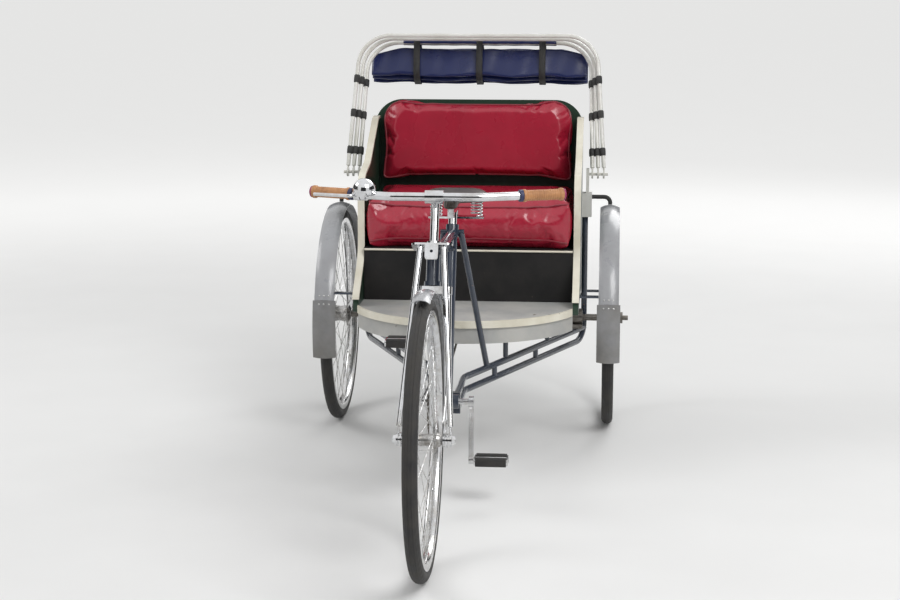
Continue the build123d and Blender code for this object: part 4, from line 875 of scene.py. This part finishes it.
rim_chrome = bright_metal(
    "rim_chrome", (0.66, 0.67, 0.69), (0.47, 0.46, 0.44), bright=0.13, dull=0.32, scale=60.0, dust=0.35
)
rim_steps, well_steps, lip_steps = 240, 15, 7
rim_half, rim_bed, rim_shoulder, rim_bottom = 0.0172, 0.3197, 0.3112, 0.3027
lip_radius, lip_y, lip_round = 0.3235, 0.016, 0.0012
well, lip = np.linspace(-np.pi / 2, np.pi / 2, well_steps), np.linspace(0, np.pi, lip_steps)
well_line = points(rim_shoulder - (rim_shoulder - rim_bottom) * np.cos(well), rim_half * np.sin(well))
lip_line = points(lip_radius + lip_round * np.sin(lip), lip_y + lip_round * np.cos(lip))
bed_line = np.array([[rim_bed, lip_y - lip_round], [rim_bed, lip_round - lip_y]])
rim_profile = np.vstack([well_line, lip_line, bed_line, (lip_line * [1, -1])[::-1]])
for side, body in wheels:
    rim = turned(f"{side}_rolled_rim", middle_of(f"{side}_rim"), (0, 1, 0), rim_profile, rim_steps)
    new_piece(rim, body, "rim_chrome", rim_chrome, f"{side}_rim")


# Hubs and spokes
# Turned steel hubs with two flanges each, laced to the rim by 36 crossed steel spokes with plated nipples.
def rods(name, starts, ends, radius, sides):
    """A mesh of many closed round rods at once. Each ring is a circle in the plane square to its rod: radius
    times (cos a u + sin a v), with u square to the rod and to the Y axis, or to X for a rod along Y."""
    way = unit(ends - starts)
    u = unit(np.cross(way, np.where(np.abs(way[:, 1:2]) > 0.9, [[1.0, 0, 0]], [[0, 1.0, 0]])))
    v = np.cross(way, u)
    angle = all_round(sides)[None, :, None]
    ring = radius * (np.cos(angle) * u[:, None] + np.sin(angle) * v[:, None])
    starts, ends = starts[:, None], ends[:, None]
    corners = np.concatenate([starts, starts + ring, ends + ring, ends], axis=1)
    first, last = 1 + np.arange(sides), 2 * sides + 1
    after = np.roll(first, -1)
    quads = points(first, after, after + sides, first + sides)
    caps = np.vstack([points(0, after, first), points(first + sides, after + sides, last)])
    offset = (np.arange(len(starts)) * (last + 1))[:, None, None]
    return mesh_of(name, corners.reshape(-1, 3), (quads + offset).reshape(-1, 4), (caps + offset).reshape(-1, 3))


spoke_steel = bright_metal(
    "spoke_steel", (0.55, 0.56, 0.57), (0.34, 0.32, 0.29), bright=0.2, dull=0.5, scale=60.0, dust=0.5
)
hub_steel = bright_metal(
    "hub_steel", (0.50, 0.50, 0.50), (0.12, 0.10, 0.075), bright=0.2, dull=0.6, scale=34.0, dust=0.4
)
spokes_per_side, crossings = 18, 3
spoke_radius, head_radius, head_out, head_in = 0.001, 0.0018, 0.0045, 0.0008
hole_inset, flange_half, tip_inset, tip_side = 0.004, 0.0028, 0.003, 0.002
nipple_radius, nipple_length = 0.0021, 0.012
# Columns: wheel, body, barrel radius, flange radius, flange spacing, hub length, bore radius
hubs = (
    ("front", "front_wheel", 0.016, 0.030, 0.058, 0.092, 0.0052),
    ("right", "drive_axle", 0.027, 0.042, 0.054, 0.076, 0.0112),
    ("left", "left_wheel", 0.027, 0.042, 0.054, 0.076, 0.0112),
)


def spoke_ends(middle, flange, spacing):
    """Where 36 spokes leave the flanges and meet the rim: every other one leads and the rest trail, each by
    three spaces of its side's 18."""
    step = 2 * np.pi / spokes_per_side
    side, index = (grid.ravel() for grid in np.meshgrid([-1, 1], np.arange(spokes_per_side), indexing="ij"))
    lead = np.where(index % 2, 1, -1)
    root_angle = index * step + np.where(side > 0, step / 2, 0)
    tip_angle = root_angle + lead * crossings * step
    hole, tip = flange - hole_inset, rim_bottom + tip_inset
    root_y = side * spacing / 2 + lead * flange_half
    roots = points(hole * np.cos(root_angle), root_y, hole * np.sin(root_angle))
    tips = points(tip * np.cos(tip_angle), side * tip_side, tip * np.sin(tip_angle))
    return roots + middle, tips + middle, lead


def hub_profile(barrel, flange, spacing, length, bore):
    """A hub's section: from the bore's end over the flange to the middle, then mirrored."""
    half, rim_y = length / 2, spacing / 2
    out = [(bore, half), (barrel * 0.72, half), (barrel * 0.8, half - 0.003), (barrel, half - 0.006)]
    out += [(barrel + 0.002, rim_y + 0.003), (flange - 0.001, rim_y + 0.002), (flange, rim_y + 0.001)]
    out += [(flange, rim_y - 0.001), (flange - 0.001, rim_y - 0.002), (barrel + 0.003, rim_y - 0.003)]
    return mirrored([*out, (barrel, rim_y - 0.008)], (barrel * 0.93, 0.0))


for side, body, barrel, flange, spacing, length, bore in hubs:
    middle = np.array(middle_of(f"{side}_hub"))
    profile = hub_profile(barrel, flange, spacing, length, bore)
    shell = turned(f"{side}_hub_shell", middle, (0, 1, 0), profile, 48)
    new_piece(shell, body, "spoke_steel", hub_steel, f"{side}_hub")
    roots, tips, lead = spoke_ends(middle, flange, spacing)
    way, across = unit(tips - roots), points(0, lead, 0)
    shafts = rods("shafts", roots, tips, spoke_radius, 6)
    heads = rods("heads", roots - across * head_out, roots + across * head_in, head_radius, 8)
    new_piece(joined_mesh(f"{side}_spokes", shafts, heads), body, "spoke_steel", spoke_steel)
    nipples = rods(f"{side}_nipples", tips - way * nipple_length, tips, nipple_radius, 8)
    new_piece(nipples, body, "rim_chrome", rim_chrome)

# Rear axle and its bearings
# A plain steel shaft in two cast bearing blocks under the rails, dark with oil and road dirt.
cast_metal = bright_metal(
    "cast_metal", (0.16, 0.155, 0.15), (0.06, 0.05, 0.04), bright=0.35, dull=0.7, scale=40.0, dust=0.6, dust_top=0.8
)
dress(cast_metal, "rear_axle", "axle_bearings")

# Chain
# Half-inch links: pairs of waisted steel plates, alternately inside and outside, on riveted pins with rollers.
# It runs over both toothed wheels and is dark with old oil.
chain_steel = bright_metal(
    "chain_steel", (0.20, 0.185, 0.16), (0.05, 0.042, 0.034), bright=0.3, dull=0.6, scale=120.0, dust=0.35
)
dress(chain_steel, "sprocket")
chain_links, chain_y = 196, -0.045
chainwheel_middle, chainwheel_pitch = np.array([0.19457, 0.300]), 0.09702
sprocket_middle, sprocket_pitch = np.array([-0.81875, 0.3555]), 0.04851
plate_waist, plate_end, plate_thickness = 0.0030, 0.0041, 0.0006
inner_gap, outer_gap = 0.0018, 0.0024
roller_radius, roller_half = 0.0038, 0.0016
pin_radius, pin_half = 0.0017, 0.0031


def chain_joints():
    """The loop round chainwheel and sprocket: arcs on their pitch circles joined by the two outer tangents. The
    joints are evenly spaced along it, from the chainwheel's upper tangent point."""
    apart = sprocket_middle - chainwheel_middle
    ahead = np.arctan2(apart[1], apart[0])
    open_angle = np.arccos((chainwheel_pitch - sprocket_pitch) / np.linalg.norm(apart))
    upper, lower = ahead - open_angle, ahead + open_angle
    front = chainwheel_middle + chainwheel_pitch * circle(np.linspace(upper, lower - 2 * np.pi, 400))
    rear = sprocket_middle + sprocket_pitch * circle(np.linspace(lower, upper, 200))
    return resampled(np.vstack([front, rear, front[:1]]), chain_links)


def chain_plates(joints):
    """All the plates at once. A plate's outline is two end circles joined by a waist, laid along its link:
    start + along * (end - start) + across * (the link's normal). It has two faces, and walls between them."""
    ahead = np.roll(joints, -1, axis=0) - joints
    middle = np.linalg.norm(ahead, axis=1).mean() / 2
    ahead = unit(ahead)[:, None]
    normal = points(-ahead[..., 1], ahead[..., 0])
    end_along, end_across = plate_end * circle(np.linspace(-np.pi / 2, np.pi / 2, 5)).T
    along = np.concatenate([middle * 2 + end_along, [middle], -end_along, [middle]])
    across = np.concatenate([end_across, [plate_waist], -end_across, [-plate_waist]])
    x, z = np.moveaxis(joints[:, None] + along[:, None] * ahead + across[:, None] * normal, -1, 0)
    gap = np.where(np.arange(chain_links) % 2, inner_gap, outer_gap)[:, None]
    levels = [chain_y + side * (gap + face * plate_thickness) for side in (-1, 1) for face in (0, 1)]
    corners = np.stack([points(x, level, z) for level in levels], axis=1)
    index = np.arange(corners[..., 0].size).reshape(corners.shape[:3])
    after = np.roll(index, -1, axis=2)
    walls = [points(index[:, a], after[:, a], after[:, a + 1], index[:, a + 1]).reshape(-1, 4) for a in (0, 2)]
    faces = index.transpose(1, 0, 2).reshape(-1, len(along))
    return mesh_of("plates", corners.reshape(-1, 3), np.vstack(walls), faces)


joints = chain_joints()
pins, reach = points(joints[:, 0], chain_y, joints[:, 1]), np.array([0, 1, 0])
chain = joined_mesh(
    "chain_links",
    chain_plates(joints),
    rods("rollers", pins - reach * roller_half, pins + reach * roller_half, roller_radius, 8),
    rods("pins", pins - reach * pin_half, pins + reach * pin_half, pin_radius, 6),
)
new_piece(chain, "chassis", "chain_steel", chain_steel, "chain")

# Cranks, chainwheel and pedals
# Forged cranks cottered to the spindle, a pressed chainwheel, and pedals of two rubber blocks between plates.
dress(rim_chrome, "chainwheel", "cranks")
pedal_rubber = rubber("pedal_rubber", (0.013, 0.013, 0.014), (0.04, 0.038, 0.035), 34.0)
pedal_half, block_half = 0.034, (0.011, 0.012)
plate_depth, plate_half = 0.004, 0.009
pin_hole, sleeve_radius = 0.0063, 0.010
ridge_pitch, ridge_depth = 0.0036, 0.0011
end_round, end_size = 0.001, 0.93
bolt_radius, bolt_rise = 0.0035, 0.0014


def squared(half_x, half_z, power, count=144):
    """Points (x, z) round a rectangle with rounded corners: in each direction, the place where
    |x / half_x|^power + |z / half_z|^power is 1."""
    way = circle(all_round(count))
    return way / (np.abs(way / [half_x, half_z]) ** power).sum(1, keepdims=True) ** (1 / power)


def outlines(x, z, rows):
    """Closed outlines of (x, z) points about a place, each at its own y."""
    return np.array([points(x + line[:, 0], y, z + line[:, 1]) for y, line in rows])


def pedal_block(x, z, low_y, high_y):
    """A rubber block along Y. Clipped cosines cut grooves into its top and bottom, and its ends are drawn in."""
    line = squared(*block_half, 7)
    grooves = np.clip(1.6 * np.cos(line[:, 0] * 2 * np.pi / ridge_pitch) - 0.6, 0, 1)
    line[:, 1] -= np.sign(line[:, 1]) * ridge_depth * grooves * (np.abs(line[:, 1]) > 0.85 * block_half[1])
    low_row, high_row = (low_y + end_round, line), (high_y - end_round, line)
    return closed("block", outlines(x, z, [(low_y, end_size * line), low_row, high_row, (high_y, end_size * line)]))


def pierced(x, z, low_y, high_y, edge):
    """A plate or sleeve between two places along Y, with the pin's hole through it."""
    hole = squared(pin_hole, pin_hole, 2)
    rows = [(low_y, edge), (high_y, edge), (high_y, hole), (low_y, hole)]
    return surface("pierced", outlines(x, z, rows), True, True)


for side, mark in hands:
    pedal = f"pedal_{mark}"
    low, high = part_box(pedal)
    x, z = (low.x + high.x) / 2, (low.z + high.z) / 2
    block_low, block_high = low.y + plate_depth, high.y - plate_depth
    block_x = [x - pedal_half + block_half[0], x + pedal_half - block_half[0]]
    blocks = joined_mesh(f"pedal_blocks_{mark}", *(pedal_block(spot, z, block_low, block_high) for spot in block_x))
    new_piece(blocks, pedal, "pedal_rubber", pedal_rubber, pedal)
    edge = squared(pedal_half, plate_half, 6)
    plates = [pierced(x, z, start, start + plate_depth, edge) for start in (low.y, block_high)]
    sleeve = pierced(x, z, block_low, block_high, squared(sleeve_radius, sleeve_radius, 2))
    outer_y = high.y if side > 0 else low.y
    bolts = domes("bolts", [(spot, outer_y, z) for spot in block_x], (0, side, 0), bolt_radius, bolt_rise)
    plates = joined_mesh(f"pedal_plates_{mark}", *plates, sleeve, bolts)
    new_piece(plates, pedal, "rim_chrome", rim_chrome)

# Fork, front axle, truss rods, head plate, stem and handlebar
# Chromed steel throughout: raked blades brazed into a crown, with a truss rod each side from the head plate to
# the axle. The stem's quill holds the bar's clamp.
chrome = bright_metal(
    "chrome", (0.70, 0.71, 0.73), (0.52, 0.51, 0.49), bright=0.05, dull=0.22, scale=22.0, dust=0.15, dust_top=0.45
)
dress(chrome, "fork", "front_axle", "truss_rods", "head_plate", "stem", "handlebar")
dress(chrome, "brake_lever", "front_mudguard_stays", "seat_post")

# Grips
# Moulded rubber sleeves pushed on the bar's ends, ribbed between two collars: tan, with a dark blue band at the
# inner end and a magenta plug in the open end.
hand_worn = {"scale": 26.0, "grain": 700.0, "strength": 0.2, "depth": 0.0003}
grip_rubber = rubber("grip_rubber", (0.52, 0.25, 0.10), (0.33, 0.15, 0.065), smooth=0.45, rough=0.7, **hand_worn)
band_rubber = rubber("band_rubber", (0.02, 0.025, 0.09), (0.035, 0.04, 0.09), smooth=0.4, rough=0.65, **hand_worn)
plug_rubber = rubber("plug_rubber", (0.34, 0.02, 0.12), (0.22, 0.02, 0.08), smooth=0.4, rough=0.65, **hand_worn)
bar_end, bar_out = np.array([0.478, 0.330, 0.930]), np.array([-0.3746, 0.9272, 0.0])
grip_bore, grip_body, grip_collar, band_radius = 0.0114, 0.0142, 0.0170, 0.0158
grip_reach, grip_over = 0.122, 0.004
rib_pitch, rib_rise = 0.0062, 0.0007
plug_radius, plug_round = 0.0155, 0.0025

# The sleeve's body carries ribs, a raised cosine each, between an inner and an outer collar
out = np.linspace(-grip_reach + 0.02, -0.014, 121)
ribs = rib_rise * np.clip(np.cos(out * 2 * np.pi / rib_pitch) + 0.35, 0, 1.35) / 1.35
inner_collar = [(grip_bore, 0.010), (grip_collar - 0.001, 0.010), (grip_collar, 0.012), (grip_collar, 0.016)]
inner_collar = np.array([*inner_collar, (grip_collar - 0.001, 0.018)]) - [0, grip_reach]
outer_collar = [(grip_collar - 0.0012, -0.012), (grip_collar, -0.010), (grip_collar, -0.003)]
outer_collar += [(grip_collar - 0.001, -0.0015), (grip_bore, -0.0015)]
grip_profile = np.vstack([inner_collar, points(grip_body - 0.0004 + ribs, out), outer_collar])
band_edge = [(grip_bore, 0.0), (band_radius - 0.0008, 0.0), (band_radius, 0.001)]
band_profile = np.array(band_edge + [(radius, 0.010 - height) for radius, height in reversed(band_edge)])
plug_edge = [plug_radius - plug_round, grip_over - plug_round] + plug_round * circle(np.linspace(0, np.pi / 2, 6))
plug_profile = [(0.0, -0.0014), (plug_radius, -0.0014), *plug_edge, (0.0, grip_over)]
# Columns: piece, profile, whether that is a ring, finish, CAD nodes
grip_parts = (
    ("grip_sleeves", grip_profile, True, grip_rubber, ["grips"]),
    ("grip_bands", band_profile - [0, grip_reach], True, band_rubber, []),
    ("grip_plugs", plug_profile, False, plug_rubber, []),
)
for name, profile, ring, finish, nodes in grip_parts:
    ends = [turned(name, bar_end * [1, side, 1], bar_out * [1, side, 1], profile, 32, ring) for side in (1, -1)]
    new_piece(joined_mesh(name, *ends), "steering", "grip_rubber", finish, *nodes)

# Bell
# A spun steel dome on a clamp round the bar, chromed, with a thumb lever under it.
bell_along, bell_tilt = 0.156, np.array([0.5505, 0, 0.8348])
bell_base = (bar_end - bar_out * bell_along) * [1, -1, 1]
bell_seat, bell_dome, bell_lip = 0.0171, 0.030, 0.0303
stalk_radius, stalk_foot = 0.007, 0.0108
lever_radius, lever_out, lever_bend, lever_side, lever_reach = 0.0022, 0.016, 0.008, 0.027, 0.018
dome_line = bell_dome * circle(np.linspace(0, np.pi / 2, 14)) + [0, bell_seat]
lip_out = [(0.0, bell_seat + 0.003), (bell_dome - 0.003, bell_seat + 0.003), (bell_dome - 0.002, bell_seat)]
lip_out += [(bell_lip, bell_seat), (bell_lip, bell_seat + 0.002)]
stalk_profile = [(0.0, stalk_foot), (stalk_radius, stalk_foot)]
stalk_profile += [(radius, bell_seat + 0.004) for radius in (stalk_radius, 0.0)]
clamp_profile = mirrored([(0.0113, -0.008), (0.0140, -0.008), (0.0150, -0.007)])
lever_way = np.array([-bell_tilt[2], 0, bell_tilt[0]])
lever_root = bell_base + bell_tilt * (bell_seat - 0.003)
lever_corner = lever_root + lever_way * lever_out
lever_tip = lever_root + lever_way * lever_reach + np.array([0, lever_side, 0])
lever_path = rounded_path([lever_root, lever_corner, lever_tip], (lever_bend,), spacing=0.002)
bell = joined_mesh(
    "bell_dome",
    turned("dome", bell_base, bell_tilt, np.vstack([lip_out, dome_line[2:]]), 48, False),
    turned("stalk", bell_base, bell_tilt, stalk_profile, 16, False),
    turned("clamp", bell_base, bar_out * [1, -1, 1], clamp_profile, 28),
    tube("lever", lever_path, lever_radius, 8, bell_tilt),
)
new_piece(bell, "steering", "chrome", chrome, "bell")

# Saddle
# A wide leather-covered saddle with a long nose, on a chromed cradle with two coil springs at the back.
saddle_leather, tree, shader = new_finish(
    "saddle_leather", (0.018, 0.013, 0.011), 0.38, Coat_Weight=0.1, Specular_IOR_Level=0.35
)
base = use_group(tree, drift_group, First=(0.014, 0.010, 0.009), Second=(0.040, 0.026, 0.019), Scale=16.0)
grain = use_group(tree, vinyl_group, Scale=700.0, Creases=0.25)
dusty = use_group(tree, dust_group, Color=base["Color"], Amount=0.04, Top=1.2)
rough = stretch(tree, base["Mask"], 0.0, 1.0, 0.3, 0.5)
worn(tree, shader, dusty["Color"], rough, grain["Height"], strength=0.35, distance=0.001)
saddle_low, saddle_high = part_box("saddle")
top_dip, nose_drop, nose_arch, rear_curve, edge_drop = 0.0065, 0.004, 0.010, 0.014, 0.006
side_power, top_power, low_power, end_power = 0.55, 0.62, 0.32, 26
# Half the saddle's width at stations from its back, 0, to its nose, 1
stations = np.array([0, 0.04, 0.12, 0.27, 0.42, 0.56, 0.70, 0.88, 0.96, 1.0])
widths = np.array([0.080, 0.087, 0.094, 0.1025, 0.072, 0.036, 0.0255, 0.0215, 0.019, 0.012])


def saddle_grid():
    """Sections across the saddle, from its back to its nose. Each is a flattened oval: half width times a
    power of the cosine, height times a power of the sine. The top dips in the middle, and the back curves in."""
    along = np.linspace(0, 1, 81)[:, None]
    side, rise = circle(all_round(64)).T[:, None]
    spread = np.interp(along[:, 0], stations, widths)
    # Averaged over nine neighbours, so that the outline has no corners
    spread = np.convolve(np.pad(spread, 4, mode="edge"), np.ones(9) / 9, mode="valid")[:, None]
    ends = np.clip(1 - np.abs(2 * along - 1) ** end_power, 0, 1) ** 0.5
    top = saddle_high.z - top_dip * np.sin(np.pi * along) ** 2 - nose_drop * along
    arch = np.clip((along - 0.3) / 0.4, 0, 1) * (1 - np.clip((along - 0.8) / 0.2, 0, 1))
    low = saddle_low.z + nose_arch * arch
    middle, tall = (top + low) / 2, (top - low) / 2
    wide = np.sign(side) * np.abs(side) ** side_power * spread * (0.45 + 0.55 * ends)
    high = np.sign(rise) * np.abs(rise) ** np.where(rise > 0, top_power, low_power) * tall * ends
    crown = -edge_drop * (side**4) * (rise > 0)
    bow_in = rear_curve * (1 - (wide / 0.1) ** 2) * (1 - along) ** 8
    x = saddle_low.x + (saddle_high.x - saddle_low.x) * along + bow_in
    return points(x, wide, middle + high + crown * ends)


new_piece(closed("saddle_cover", saddle_grid()), "chassis", "saddle_leather", saddle_leather, "saddle")

# Saddle springs
# Chromed wire coils between the cradle and the saddle's back.
coil_wire, coil_turns = 0.0023, 4.5
spring_low, spring_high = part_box("saddle_springs")
coil_radius = (spring_high.x - spring_low.x) / 2 - coil_wire
coil_angle = np.linspace(0, coil_turns * 2 * np.pi, 200)
coil_rise = np.linspace(spring_low.z + coil_wire, spring_high.z - coil_wire, 200)
outward = points(np.cos(coil_angle), np.sin(coil_angle), 0)
coils = []
for side in (1, -1):
    middle = np.array([(spring_low.x + spring_high.x) / 2, side * (spring_high.y - coil_radius - coil_wire), 0])
    coils.append(tube("coil", middle + coil_radius * outward + points(0, 0, coil_rise), coil_wire, 10, outward))
new_piece(joined_mesh("spring_coils", *coils), "chassis", "chrome", chrome, "saddle_springs")
